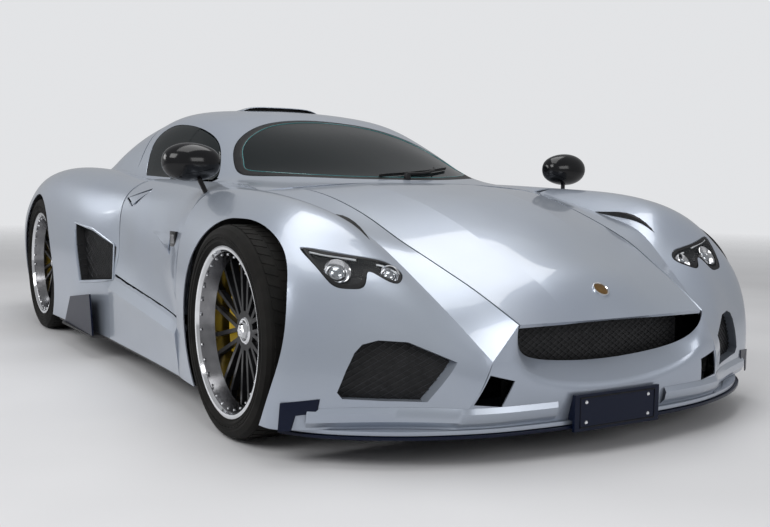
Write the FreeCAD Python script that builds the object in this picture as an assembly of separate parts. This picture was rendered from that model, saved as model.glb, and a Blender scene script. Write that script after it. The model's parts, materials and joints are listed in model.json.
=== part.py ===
import FreeCAD, Part
import math
import os

# A mid-engined supercar. Millimetres, +X is the nose, +Y is the car's left, Z is up.
# The origin is on the ground under the middle of the body. The body skins are smooth
# panels through character lines; each panel is a real sheet with an inner face, and the
# windows, lamps, intakes and wheel arches are cut from the panels.

Vector = FreeCAD.Vector
doc = FreeCAD.newDocument("supercar")

# Driving dimensions
sizes = {
    "overall_length": 4280,
    "overall_width": 2040,
    "roof_height": 1165,
    "wheelbase_share": 0.6,
    "axle_shift": 155,
    "front_half_track": 857,
    "rear_half_track": 838,
    "body_skin": 4,
    "lid_depth": 12,
    "door_depth": 60,
    "door_front_lip": 28,
    "door_rear_lip": 60,
    "door_swing_gap": 9.5,
    "door_corner_relief": 22,
    "roof_depth": 28,
    "sill_depth": 40,
    "shut_gap": 5,
    "seam_gap": 0.3,
    "cut_overrun": 40,
    "floor_top": 105,
    "floor_thickness": 10,
    "glass_thickness": 5,
    "glass_inset": 1.5,
    "seal_depth": 12,
    "seal_height": 32,
    "rim_diameter": 533,
    "front_rim_width": 235,
    "rear_rim_width": 300,
    "rim_barrel_wall": 6,
    "rim_lip_height": 12,
    "rim_lip_depth": 58,
    "rim_drop": 14,
    "rim_face_inset": 66,
    "rim_spoke_pairs": 10,
    "rim_spoke_width": 13,
    "rim_spoke_spread": 30,
    "rim_spoke_depth": 20,
    "rim_hub_radius": 62,
    "front_tyre_diameter": 660,
    "front_tyre_width": 255,
    "rear_tyre_diameter": 688,
    "rear_tyre_width": 318,
    "tyre_shoulder": 26,
    "disc_diameter": 380,
    "disc_thickness": 30,
    "disc_outer_face": 855,
    "rear_disc_outer_face": 862,
    "caliper_width": 70,
    "caliper_reach": 95,
    "caliper_cheek": 22,
    "arch_start": 700,
    "arch_radius_front": 350,
    "arch_stretch": 22,
    "arch_radius_rear": 366,
    "hub_radius": 58,
    "hub_depth": 60,
    "hub_pin_radius": 24,
    "hub_pin_length": 28,
    "kingpin_across": 797,
    "kingpin_height": 150,
    "steering_pin_radius": 14,
    "arm_radius": 12,
    "arm_spread": 140,
    "running_clearance": 1,
    "pin_clearance": 0.3,
    "hinge_pin_radius": 6,
    "hinge_plate": 10,
    "hinge_eye_radius": 9,
    "hinge_drop": 60,
    "hinge_edge_gap": 11,
    "hinge_setback": 54,
    "hinge_below_lid": 16,
    "bonnet_hinge_across": 280,
    "cover_hinge_across": 150,
    "chassis_half_width": 420,
    "bulkhead_thickness": 22,
    "bin_wall": 6,
    "bin_height": 470,
    "rail_inner": 360,
    "rail_height": 480,
    "post_depth": 75,
    "splitter_thickness": 22,
    "fin_thickness": 7,
    "diffuser_half_width": 800,
    "lamp_depth": 26,
    "tail_lamp_radius": 62,
    "mesh_thickness": 3,
    "mesh_setback": 34,
    "duct_depth": 40,
    "engine_half_width": 260,
    "engine_height": 740,
    "gearbox_half_width": 180,
    "gearbox_height": 480,
    "exhaust_radius": 55,
    "exhaust_spread": 130,
    "exhaust_height": 400,
    "pipe_wall": 3,
    "seat_across": 340,
    "seat_width": 440,
    "dashboard_half_width": 590,
    "steering_wheel_radius": 165,
    "steering_wheel_grip": 14,
    "steering_wheel_hub": 40,
    "steering_wheel_tilt": 65,
    "column_radius": 20,
    "column_length": 200,
    "mirror_stalk_radius": 9,
    "mirror_half_width": 105,
    "mirror_cut": 26,
    "plate_half_width": 170,
    "plate_thickness": 10,
    "handle_depth": 9,
    "louvre_length": 34,
    "louvre_half_width": 300,
}

def write_sizes():
    """Put every driving dimension in a sheet, under its own name."""
    made = doc.addObject("Spreadsheet::Sheet", "Sizes")
    for row, (name, value) in enumerate(sizes.items(), start=1):
        made.set("A" + str(row), name)
        made.set("B" + str(row), str(value))
        made.setAlias("B" + str(row), name)
    doc.recompute()
    return made


sheet = write_sizes()


def size(name):
    return float(sheet.get(name))


half_length = size("overall_length") / 2
half_width = size("overall_width") / 2
roof_height = size("roof_height")
axle_middle = size("axle_shift")
wheelbase = size("overall_length") * size("wheelbase_share")
front_axle = axle_middle + wheelbase / 2
rear_axle = axle_middle - wheelbase / 2
shut_gap = size("shut_gap")
seam_gap = size("seam_gap")
overrun = size("cut_overrun")
floor_top = size("floor_top")


def along(share):
    """Place along the car: a share of the half length, measured from mid wheelbase."""
    return axle_middle + share * half_length


def across(share):
    return share * half_width


def up(share):
    return share * roof_height


def place(point):
    return Vector(along(point[0]), across(point[1]), up(point[2]))


def curve(points):
    """Smooth curve through points at evenly spread parameters."""
    steps = len(points) - 1
    made = Part.BSplineCurve()
    made.interpolate(Points=points, Parameters=[i / steps for i in range(steps + 1)])
    return made


def surface(rows):
    """Smooth surface through rows of points. Neighbours that share a row or a column meet exactly."""
    row_curves = [curve(row) for row in rows]
    pole_count = row_curves[0].NbPoles
    column_curves = [curve([made.getPole(k + 1) for made in row_curves]) for k in range(pole_count)]
    poles = [[column.getPole(i + 1) for column in column_curves] for i in range(column_curves[0].NbPoles)]
    first_row = row_curves[0]
    first_column = column_curves[0]
    made = Part.BSplineSurface()
    made.buildFromPolesMultsKnots(
        poles,
        first_column.getMultiplicities(),
        first_row.getMultiplicities(),
        first_column.getKnots(),
        first_row.getKnots(),
        False,
        False,
        first_column.Degree,
        first_row.Degree,
    )
    return made


def strips(rows, creases):
    """Surfaces between the crease columns, with the first and last column number of each."""
    edges = [0] + list(creases) + [len(rows[0]) - 1]
    return [(surface([row[a:b + 1] for row in rows]), a, b) for a, b in zip(edges, edges[1:])]


def inward_signs(parts):
    """For each strip, the sign that turns its normals toward the middle of the car."""
    signs = []
    for made, a, b in parts:
        core = Vector(axle_middle, 0, roof_height / 2) - made.value(0.5, 0.5)
        signs.append(1 if made.normal(0.5, 0.5).dot(core) > 0 else -1)
    return signs


def inward_at(parts, signs, i, j, row_count):
    """Mean inward direction at one table point, over the strips that meet there."""
    total = Vector()
    for (made, a, b), sign in zip(parts, signs):
        if a <= j <= b:
            total = total + made.normal(i / (row_count - 1), (j - a) / (b - a)) * sign
    return total.normalize()


def inset(rows, depth, creases=()):
    """The table moved inward by a depth."""
    parts = strips(rows, creases)
    signs = inward_signs(parts)
    return [
        [point + inward_at(parts, signs, i, j, len(rows)) * depth for j, point in enumerate(row)]
        for i, row in enumerate(rows)
    ]


def solid_from(faces):
    shell = Part.makeShell(faces)
    shell.sewShape()
    made = Part.makeSolid(shell)
    if made.Volume < 0:
        made.reverse()
    return made


def panel(rows, depth, creases=(), start=0):
    """Sheet solid: an outer skin through the table and an inner skin deeper by its thickness."""
    outer_rows = inset(rows, start, creases) if start else rows
    inner_rows = inset(rows, start + depth, creases)
    outer = strips(outer_rows, creases)
    inner = strips(inner_rows, creases)
    faces = [made.toShape() for made, a, b in outer + inner]
    for (top, a, b), (low, c, d) in zip(outer, inner):
        for end in (0, 1):
            faces.append(Part.makeRuledSurface(top.uIso(end).toShape(), low.uIso(end).toShape()))
    for index, end in ((0, 0), (-1, 1)):
        top = outer[index][0].vIso(end)
        low = inner[index][0].vIso(end)
        faces.append(Part.makeRuledSurface(top.toShape(), low.toShape()))
    return solid_from(faces)


def mirrored(shape):
    return shape.mirror(Vector(), Vector(0, 1, 0))


def flipped(point):
    return Vector(point.x, -point.y, point.z)


def full_rows(rows):
    """Rows from the left side over the middle to the right side, from rows that end on the middle."""
    return [row + [flipped(point) for point in row[-2::-1]] for row in rows]


def box(x0, x1, y0, y1, z0, z1):
    return Part.makeBox(x1 - x0, y1 - y0, z1 - z0, Vector(x0, y0, z0))


def prism(points, direction):
    """Straight extrusion of a closed outline."""
    return Part.Face(Part.makePolygon(points + points[:1])).extrude(direction)



# Character lines of the body, as shares: along from mid wheelbase in half lengths,
# across in half widths, up in roof heights. Rows run from one end of a panel to the other.
fender_shares = [
    [(0.376, 0.505, 0.660), (0.376, 0.647, 0.650), (0.376, 0.730, 0.665), (0.376, 0.804, 0.654),
     (0.376, 0.882, 0.601), (0.376, 0.936, 0.481), (0.376, 0.946, 0.292), (0.376, 0.936, 0.084)],
    [(0.491, 0.482, 0.637), (0.491, 0.613, 0.616), (0.491, 0.706, 0.651), (0.491, 0.804, 0.651),
     (0.491, 0.897, 0.597), (0.491, 0.956, 0.481), (0.491, 0.966, 0.292), (0.491, 0.951, 0.084)],
    [(0.600, 0.467, 0.585), (0.600, 0.585, 0.578), (0.600, 0.686, 0.627), (0.600, 0.784, 0.633),
     (0.600, 0.894, 0.592), (0.600, 0.959, 0.489), (0.600, 0.969, 0.292), (0.600, 0.951, 0.082)],
    [(0.679, 0.463, 0.536), (0.679, 0.565, 0.545), (0.682, 0.657, 0.584), (0.687, 0.765, 0.584),
     (0.687, 0.875, 0.549), (0.685, 0.949, 0.464), (0.678, 0.973, 0.292), (0.673, 0.963, 0.082)],
    [(0.739, 0.446, 0.495), (0.739, 0.539, 0.488), (0.745, 0.618, 0.502), (0.748, 0.706, 0.502),
     (0.752, 0.814, 0.476), (0.755, 0.917, 0.408), (0.752, 0.969, 0.283), (0.743, 0.966, 0.082)],
    [(0.794, 0.419, 0.452), (0.794, 0.510, 0.421), (0.799, 0.569, 0.431), (0.801, 0.637, 0.429),
     (0.801, 0.725, 0.392), (0.799, 0.814, 0.322), (0.792, 0.887, 0.215), (0.778, 0.917, 0.082)],
    [(0.841, 0.398, 0.415), (0.841, 0.485, 0.361), (0.850, 0.529, 0.348), (0.855, 0.569, 0.326),
     (0.855, 0.608, 0.292), (0.846, 0.657, 0.240), (0.832, 0.706, 0.172), (0.813, 0.755, 0.082)],
    [(0.917, 0.363, 0.345), (0.909, 0.436, 0.258), (0.909, 0.449, 0.232), (0.907, 0.461, 0.206),
     (0.902, 0.473, 0.176), (0.895, 0.490, 0.146), (0.888, 0.505, 0.120), (0.881, 0.520, 0.082)],
]

bonnet_shares = [
    [(0.379, 0.505, 0.660), (0.379, 0.255, 0.676), (0.379, 0.000, 0.681)],
    [(0.491, 0.482, 0.637), (0.491, 0.245, 0.659), (0.491, 0.000, 0.664)],
    [(0.600, 0.467, 0.585), (0.600, 0.235, 0.616), (0.600, 0.000, 0.624)],
    [(0.679, 0.463, 0.536), (0.679, 0.225, 0.570), (0.679, 0.000, 0.580)],
    [(0.739, 0.446, 0.495), (0.739, 0.216, 0.526), (0.739, 0.000, 0.539)],
    [(0.794, 0.419, 0.452), (0.804, 0.201, 0.473), (0.804, 0.000, 0.487)],
    [(0.841, 0.398, 0.415), (0.860, 0.186, 0.423), (0.864, 0.000, 0.438)],
    [(0.917, 0.363, 0.345), (0.915, 0.176, 0.342), (0.914, 0.000, 0.341)],
]

bumper_shares = [
    [(0.917, 0.363, 0.345), (0.909, 0.436, 0.258), (0.902, 0.473, 0.176), (0.888, 0.505, 0.120),
     (0.881, 0.520, 0.082)],
    [(0.909, 0.348, 0.288), (0.916, 0.358, 0.245), (0.914, 0.377, 0.193), (0.904, 0.397, 0.133),
     (0.895, 0.412, 0.082)],
    [(0.897, 0.279, 0.253), (0.914, 0.284, 0.215), (0.917, 0.289, 0.180), (0.910, 0.294, 0.133),
     (0.902, 0.304, 0.082)],
    [(0.892, 0.147, 0.236), (0.914, 0.147, 0.189), (0.918, 0.152, 0.163), (0.914, 0.157, 0.129),
     (0.907, 0.157, 0.082)],
    [(0.890, 0.000, 0.230), (0.914, 0.000, 0.182), (0.918, 0.000, 0.159), (0.914, 0.000, 0.129),
     (0.909, 0.000, 0.082)],
]

upper_shares = [
    [(0.376, 0.647, 0.651), (0.376, 0.598, 0.654), (0.376, 0.490, 0.665), (0.376, 0.275, 0.677),
     (0.376, 0.000, 0.681)],
    [(0.280, 0.652, 0.670), (0.280, 0.598, 0.674), (0.280, 0.490, 0.687), (0.280, 0.275, 0.719),
     (0.280, 0.000, 0.736)],
    [(0.187, 0.656, 0.674), (0.187, 0.603, 0.687), (0.187, 0.510, 0.725), (0.187, 0.294, 0.781),
     (0.187, 0.000, 0.801)],
    [(0.093, 0.660, 0.676), (0.093, 0.598, 0.730), (0.093, 0.529, 0.785), (0.093, 0.294, 0.845),
     (0.093, 0.000, 0.863)],
    [(0.000, 0.664, 0.678), (0.000, 0.593, 0.773), (0.000, 0.515, 0.854), (0.000, 0.294, 0.900),
     (0.000, 0.000, 0.913)],
    [(-0.093, 0.669, 0.680), (-0.093, 0.598, 0.790), (-0.093, 0.510, 0.901), (-0.093, 0.294, 0.944),
     (-0.093, 0.000, 0.957)],
    [(-0.206, 0.674, 0.687), (-0.206, 0.608, 0.807), (-0.206, 0.515, 0.920), (-0.206, 0.294, 0.968),
     (-0.206, 0.000, 0.977)],
    [(-0.304, 0.676, 0.700), (-0.304, 0.623, 0.790), (-0.304, 0.525, 0.897), (-0.304, 0.294, 0.960),
     (-0.304, 0.000, 0.970)],
    [(-0.397, 0.676, 0.712), (-0.397, 0.637, 0.764), (-0.397, 0.549, 0.858), (-0.397, 0.314, 0.927),
     (-0.397, 0.000, 0.940)],
    [(-0.514, 0.667, 0.719), (-0.514, 0.632, 0.738), (-0.514, 0.559, 0.794), (-0.514, 0.324, 0.867),
     (-0.514, 0.000, 0.888)],
    [(-0.701, 0.627, 0.708), (-0.701, 0.569, 0.715), (-0.701, 0.500, 0.734), (-0.701, 0.324, 0.777),
     (-0.701, 0.000, 0.803)],
    [(-0.864, 0.588, 0.691), (-0.864, 0.539, 0.694), (-0.864, 0.480, 0.702), (-0.864, 0.324, 0.721),
     (-0.864, 0.000, 0.742)],
    [(-1.005, 0.549, 0.687), (-1.005, 0.510, 0.687), (-1.005, 0.451, 0.691), (-1.005, 0.324, 0.700),
     (-1.005, 0.000, 0.712)],
]

door_shares = [
    [(0.376, 0.635, 0.650), (0.376, 0.721, 0.665), (0.376, 0.804, 0.654), (0.376, 0.882, 0.601),
     (0.376, 0.936, 0.481), (0.376, 0.943, 0.361), (0.376, 0.939, 0.258)],
    [(0.280, 0.640, 0.670), (0.280, 0.730, 0.670), (0.280, 0.804, 0.644), (0.280, 0.858, 0.584),
     (0.280, 0.902, 0.481), (0.280, 0.912, 0.378), (0.280, 0.929, 0.275)],
    [(0.164, 0.645, 0.675), (0.164, 0.740, 0.670), (0.164, 0.814, 0.631), (0.164, 0.853, 0.567),
     (0.164, 0.882, 0.481), (0.164, 0.892, 0.395), (0.164, 0.917, 0.288)],
    [(0.047, 0.650, 0.677), (0.047, 0.745, 0.674), (0.047, 0.824, 0.631), (0.047, 0.858, 0.567),
     (0.047, 0.877, 0.489), (0.047, 0.882, 0.403), (0.047, 0.912, 0.305)],
    [(-0.056, 0.655, 0.679), (-0.056, 0.755, 0.676), (-0.056, 0.838, 0.631), (-0.056, 0.873, 0.567),
     (-0.056, 0.882, 0.489), (-0.056, 0.887, 0.412), (-0.056, 0.907, 0.323)],
]

sill_shares = [
    [(0.376, 0.939, 0.253), (0.376, 0.953, 0.219), (0.376, 0.947, 0.172), (0.376, 0.941, 0.129),
     (0.376, 0.936, 0.084)],
    [(0.234, 0.925, 0.276), (0.234, 0.947, 0.240), (0.234, 0.939, 0.185), (0.234, 0.934, 0.133),
     (0.234, 0.931, 0.084)],
    [(0.093, 0.917, 0.294), (0.093, 0.941, 0.258), (0.093, 0.934, 0.197), (0.093, 0.931, 0.137),
     (0.093, 0.931, 0.084)],
    [(-0.056, 0.907, 0.314), (-0.056, 0.934, 0.279), (-0.056, 0.931, 0.215), (-0.056, 0.930, 0.146),
     (-0.056, 0.931, 0.084)],
]

quarter_shares = [
    [(-0.056, 0.667, 0.679), (-0.056, 0.760, 0.676), (-0.056, 0.838, 0.631), (-0.056, 0.871, 0.567),
     (-0.056, 0.878, 0.489), (-0.056, 0.882, 0.412), (-0.056, 0.902, 0.318),
     (-0.056, 0.931, 0.084)],
    [(-0.164, 0.672, 0.684), (-0.164, 0.775, 0.687), (-0.164, 0.863, 0.652), (-0.164, 0.912, 0.575),
     (-0.164, 0.931, 0.498), (-0.164, 0.936, 0.412), (-0.164, 0.936, 0.318),
     (-0.164, 0.941, 0.084)],
    [(-0.280, 0.676, 0.697), (-0.280, 0.784, 0.711), (-0.280, 0.882, 0.678), (-0.280, 0.941, 0.609),
     (-0.280, 0.966, 0.515), (-0.280, 0.975, 0.412), (-0.280, 0.971, 0.309),
     (-0.280, 0.961, 0.084)],
    [(-0.421, 0.675, 0.715), (-0.421, 0.784, 0.728), (-0.421, 0.892, 0.704), (-0.421, 0.961, 0.627),
     (-0.421, 0.990, 0.515), (-0.421, 0.998, 0.412), (-0.421, 0.990, 0.292),
     (-0.421, 0.971, 0.084)],
    [(-0.600, 0.652, 0.717), (-0.600, 0.775, 0.728), (-0.600, 0.892, 0.700), (-0.600, 0.966, 0.627),
     (-0.600, 0.995, 0.515), (-0.600, 1.000, 0.395), (-0.600, 1.000, 0.258),
     (-0.600, 0.980, 0.084)],
    [(-0.771, 0.611, 0.702), (-0.771, 0.735, 0.708), (-0.771, 0.853, 0.678), (-0.771, 0.931, 0.601),
     (-0.771, 0.971, 0.498), (-0.771, 0.980, 0.378), (-0.771, 0.971, 0.240),
     (-0.771, 0.941, 0.120)],
    [(-0.911, 0.576, 0.689), (-0.911, 0.686, 0.691), (-0.911, 0.794, 0.661), (-0.911, 0.873, 0.584),
     (-0.911, 0.912, 0.489), (-0.911, 0.922, 0.378), (-0.911, 0.912, 0.258),
     (-0.911, 0.882, 0.155)],
    [(-1.005, 0.549, 0.687), (-1.014, 0.647, 0.678), (-1.019, 0.745, 0.644), (-1.023, 0.814, 0.575),
     (-1.023, 0.848, 0.489), (-1.023, 0.858, 0.386), (-1.019, 0.843, 0.283),
     (-1.009, 0.814, 0.189)],
]

fascia_shares = [
    [(-1.005, 0.549, 0.687), (-1.005, 0.324, 0.700), (-1.005, 0.000, 0.712)],
    [(-1.014, 0.647, 0.678), (-1.023, 0.363, 0.689), (-1.026, 0.000, 0.695)],
    [(-1.019, 0.745, 0.644), (-1.035, 0.412, 0.650), (-1.040, 0.000, 0.652)],
    [(-1.023, 0.814, 0.575), (-1.047, 0.451, 0.584), (-1.054, 0.000, 0.588)],
    [(-1.023, 0.848, 0.489), (-1.054, 0.471, 0.498), (-1.063, 0.000, 0.502)],
    [(-1.023, 0.858, 0.386), (-1.058, 0.471, 0.395), (-1.070, 0.000, 0.399)],
    [(-1.019, 0.843, 0.283), (-1.054, 0.461, 0.305), (-1.065, 0.000, 0.313)],
    [(-1.009, 0.814, 0.189), (-1.040, 0.451, 0.227), (-1.049, 0.000, 0.245)],
]

# Outlines as shares: plan (along, across), side (along, up) and front (across, up).
plan_windscreen_shares = [
    (0.357, 0.000), (0.341, 0.216), (0.285, 0.412), (0.201, 0.552), (0.140, 0.534), (0.084, 0.480),
    (0.035, 0.373), (-0.005, 0.216), (-0.021, 0.000),
]

side_window_shares = [
    (-0.208, 0.697), (-0.245, 0.773), (-0.248, 0.837), (-0.215, 0.884), (-0.140, 0.899),
    (-0.047, 0.877), (0.047, 0.821), (0.112, 0.753), (0.161, 0.678),
]

front_big_intake_shares = [
    (0.806, 0.182), (0.784, 0.234), (0.761, 0.276), (0.740, 0.296), (0.700, 0.306), (0.628, 0.302),
    (0.518, 0.256), (0.585, 0.158), (0.686, 0.160), (0.792, 0.166),
]

front_small_intake_shares = [
    (0.369, 0.209), (0.443, 0.226), (0.480, 0.153), (0.396, 0.144),
]

plan_headlight_shares = [
    (0.724, 0.825), (0.736, 0.771), (0.747, 0.708), (0.754, 0.638), (0.759, 0.580), (0.771, 0.559),
    (0.790, 0.575), (0.800, 0.603), (0.791, 0.639), (0.778, 0.673), (0.790, 0.696), (0.788, 0.735),
    (0.778, 0.780), (0.753, 0.812),
]

plan_splitter_shares = [
    (0.921, 0.000), (0.916, 0.245), (0.902, 0.441), (0.874, 0.647), (0.827, 0.814), (0.785, 0.912),
    (0.748, 0.956),
]

plan_floor_shares = [
    (0.748, 0.000), (0.748, 0.490), (0.439, 0.490), (0.439, 0.932), (0.376, 0.931), (0.140, 0.927),
    (-0.056, 0.927), (-0.093, 0.931), (-0.112, 0.980), (-0.346, 0.990), (-0.364, 0.966),
    (-0.421, 0.966), (-0.421, 0.490), (-0.818, 0.490), (-0.818, 0.000),
]

side_intake_shares = [
    (-0.260, 0.502), (-0.168, 0.482), (-0.070, 0.429), (-0.070, 0.309), (-0.234, 0.279),
]

skin = size("body_skin")
door_rear = along(-0.056)
door_front = along(0.376)
cabin_rear = along(-0.29)


def rows_of(table):
    return [[place(point) for point in row] for row in table]


def with_first_column(rows, shift):
    """Rows with their first point moved sideways, for a gap along a shared line."""
    return [[row[0] + Vector(0, shift, 0)] + row[1:] for row in rows]


def plan_outline(shares, level):
    return [Vector(along(x), across(y), level) for x, y in shares]


def side_outline(shares, level):
    return [Vector(along(x), level, up(z)) for x, z in shares]


def front_outline(shares, level):
    return [Vector(level, across(y), up(z)) for y, z in shares]


def both(shape):
    return Part.makeCompound([shape, mirrored(shape)])


def flat_bottom(shape):
    """Trim a skin a seam above the floor tray that carries it."""
    reach = half_length + overrun
    return shape.common(box(-reach, reach, -reach, reach, floor_top + seam_gap, roof_height + overrun))


def slab(x0, x1):
    """Space between two planes across the car."""
    reach = half_width + overrun
    return box(x0, x1, -reach, reach, -overrun, roof_height + overrun)


def arch(axle, radius, centre_height, stretch=0):
    """Wheel opening: a round one, or one stretched along the car so that the wheel can steer."""
    start = Vector(axle, size("arch_start"), centre_height)
    if not stretch:
        return Part.makeCylinder(radius, half_width, start, Vector(0, 1, 0))
    ends = [Part.makeCylinder(radius, half_width, start + Vector(shift, 0, 0), Vector(0, 1, 0))
            for shift in (-stretch, stretch)]
    middle = box(axle - stretch, axle + stretch, start.y, start.y + half_width,
                 centre_height - radius, centre_height + radius)
    return middle.fuse(ends)


def front_arch(margin):
    return arch(front_axle, size("arch_radius_front") + margin, front_wheel_height, size("arch_stretch"))


def outline_prism(points, direction):
    """Smooth open curve through the points, closed by a straight line and extruded."""
    made = Part.BSplineCurve()
    made.interpolate(Points=points)
    closing = Part.makeLine(points[-1], points[0])
    return Part.Face(Part.Wire([made.toShape(), closing])).extrude(direction)


# Body panels

fender_rows = rows_of(fender_shares)
upper_rows = rows_of(upper_shares)
quarter_rows = rows_of(quarter_shares)
door_rows = rows_of(door_shares)
front_wheel_height = size("front_tyre_diameter") / 2
rear_wheel_height = size("rear_tyre_diameter") / 2


def forward_prism(shares, reach_back):
    """Front-view outline extruded from a place near the nose back."""
    points = front_outline(shares, half_length + overrun)
    return prism(points, Vector(-reach_back, 0, 0))


def shrunk(points, amount):
    """Points of a closed outline moved inward, each square to the line through its neighbours."""
    centre = Vector()
    for point in points:
        centre = centre + point * (1 / len(points))
    plane_normal = (points[1] - points[0]).cross(points[-1] - points[0]).normalize()
    made = []
    for before, point, after in zip(points[-1:] + points[:-1], points, points[1:] + points[:1]):
        inward = plane_normal.cross(after - before).normalize()
        inward = inward if inward.dot(centre - point) > 0 else inward * -1
        made.append(point + inward * amount)
    return made


def smooth_prism(points, direction):
    """Extrusion of a closed smooth outline through the points."""
    made = Part.BSplineCurve()
    made.interpolate(Points=points, PeriodicFlag=True)
    return Part.Face(Part.Wire(made.toShape())).extrude(direction)


def headlight_prism(margin):
    points = plan_outline(plan_headlight_shares, 0)
    return smooth_prism(shrunk(points, margin), Vector(0, 0, roof_height))


def make_front_fenders():
    made = panel(fender_rows, skin, creases=(1,))
    made = made.cut(front_arch(0))
    made = made.cut(forward_prism(front_big_intake_shares, half_width))
    made = made.cut(headlight_prism(0))
    return both(flat_bottom(made))


# The lids turn on hidden pins under their rear and front edges.
hinge_edge_gap = size("hinge_edge_gap")


def bonnet_sheet():
    rows = full_rows(with_first_column(rows_of(bonnet_shares), -shut_gap * 1.4))
    made = panel(rows, size("lid_depth"), creases=(1, 3))
    return made.common(slab(door_front + hinge_edge_gap, half_length))


def cover_sheet():
    rows = full_rows(with_first_column(upper_rows, -shut_gap * 1.4))
    made = panel(rows, size("lid_depth"))
    return made.common(slab(along(-1.002), cabin_rear - hinge_edge_gap))


def lid_axis(sheet_solid, x, y):
    """Point on a lid's hinge line, a set depth under the lid's inner face."""
    probe = Part.makeLine(Vector(x, y, 0), Vector(x, y, roof_height * 2))
    return Vector(x, y, probe.common(sheet_solid).BoundBox.ZMin - size("hinge_below_lid"))


bonnet_axis = lid_axis(bonnet_sheet(), door_front + hinge_edge_gap + size("hinge_setback"),
                       size("bonnet_hinge_across"))
cover_axis = lid_axis(cover_sheet(), cabin_rear - hinge_edge_gap - size("hinge_setback"),
                      size("cover_hinge_across"))


def lid_bracket(axis, wall):
    """Plate from a wall to a lid's pin, set low so that the open lid's edge passes over it."""
    plate = size("hinge_plate")
    eye = size("hinge_eye_radius")
    foot = axis.z - size("hinge_drop")
    end = Part.makeCylinder(eye, plate, axis, Vector(0, 1, 0))
    stem = box(axis.x - eye, axis.x + eye, axis.y, axis.y + plate, foot - eye * 2, axis.z)
    arm = box(min(axis.x, wall), max(axis.x, wall), axis.y, axis.y + plate, foot - eye * 2, foot)
    hole = Part.makeCylinder(size("hinge_pin_radius") + size("pin_clearance"), plate, axis, Vector(0, 1, 0))
    return end.fuse([stem, arm]).cut(hole)


def lid_lug(axis):
    """Lug beside the bracket, with the pin that turns in the bracket's eye."""
    plate = size("hinge_plate")
    gap = size("running_clearance")
    eye = size("hinge_eye_radius")
    start = axis + Vector(0, plate + gap, 0)
    end = Part.makeCylinder(eye, plate, start, Vector(0, 1, 0))
    lug = box(start.x - eye, start.x + eye, start.y, start.y + plate, start.z, start.z + overrun)
    pin = Part.makeCylinder(size("hinge_pin_radius"), plate + gap * 2, axis - Vector(0, gap, 0), Vector(0, 1, 0))
    return lug.fuse([end, pin])


def make_bonnet():
    rows = full_rows(with_first_column(rows_of(bonnet_shares), -shut_gap * 1.4))
    over = panel(rows, overrun + size("lid_depth") / 2, creases=(1, 3), start=-overrun)
    lug = lid_lug(bonnet_axis).cut(over)
    return bonnet_sheet().fuse([lug, mirrored(lug)])


def bumper_rows():
    rows = rows_of(bumper_shares)
    rows[0] = [point - Vector(0, seam_gap, 0) for point in rows[0]]
    return rows + [[flipped(point) for point in row] for row in rows[-2::-1]]


def make_plate_holder():
    """Blank plate holder on the bumper; its lower part hangs ahead of the splitter."""
    half = size("plate_half_width")
    low, high = [up(share) for share in plate_shares]
    front = along(plate_front_share)
    face = box(front - size("plate_thickness"), front, -half, half, low, high)
    block = box(along(plate_back_share), front, shut_gap - half, half - shut_gap, floor_top + seam_gap,
                high - shut_gap)
    return face.fuse(block.cut(panel(bumper_rows(), overrun / 2, creases=(1,), start=-seam_gap))).removeSplitter()


def make_front_bumper():
    made = panel(bumper_rows(), skin, creases=(1,))
    made = made.cut(both(panel(fender_rows, skin + seam_gap * 2, creases=(1,), start=-seam_gap)))
    hole = forward_prism(front_small_intake_shares, half_width / 2)
    return flat_bottom(made.cut(hole).cut(mirrored(hole)))


def windscreen_prism(margin):
    half = plan_outline(plan_windscreen_shares, half_width / 2)
    points = half + [flipped(point) for point in half[-2:0:-1]]
    return smooth_prism(shrunk(points, margin), Vector(0, 0, roof_height))


def window_prism(margin):
    points = shrunk(side_outline(side_window_shares, half_width / 4), margin)
    return outline_prism(points, Vector(0, half_width, 0))


belt = up(0.672)
window_front = along(side_window_shares[-1][0])


def make_cabin_frame():
    made = panel(full_rows(upper_rows), size("roof_depth"))
    made = made.common(slab(cabin_rear, front_axle))
    made = made.cut(windscreen_prism(0))
    side = window_prism(0)
    drop = box(door_rear - shut_gap / 2, window_front, across(0.4), half_width, up(0.55), belt + overrun / 2)
    edge = [
        Vector(door_rear - shut_gap / 2, across(0.652), 0),
        Vector(door_rear - shut_gap / 2, half_width, 0),
        Vector(front_axle, half_width, 0),
        Vector(front_axle, across(0.610), 0),
        Vector(door_front + shut_gap, across(0.630), 0),
    ]
    ledge = prism(edge, Vector(0, 0, roof_height))
    for tool in (side, drop, ledge):
        made = made.cut(tool).cut(mirrored(tool))
    return made


def make_windscreen():
    glass = panel(full_rows(upper_rows), size("glass_thickness"), start=size("glass_inset"))
    return glass.common(windscreen_prism(seam_gap))


def side_glass(margin, x0, x1):
    glass = panel(upper_rows, size("glass_thickness"), start=size("glass_inset"))
    return glass.common(window_prism(margin)).common(slab(x0, x1))


def make_quarter_glass():
    return side_glass(seam_gap, rear_axle, door_rear - shut_gap / 2)


def make_door_glass():
    """Door window with the seal along its lower edge, which stands on the door."""
    glass = side_glass(shut_gap, door_rear + shut_gap / 2, window_front - overrun)
    rear = door_rear + shut_gap
    front = window_front - overrun * 3
    height = size("seal_height")
    seal = panel(upper_rows, size("seal_depth"), start=size("glass_inset"))
    seal = seal.common(box(rear, front, 0, half_width, belt, belt + height))
    foot = box(rear, front, across(0.630), across(0.652), belt + seam_gap, belt + height * 0.6)
    return glass.fuse([seal, foot]).removeSplitter()


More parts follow.
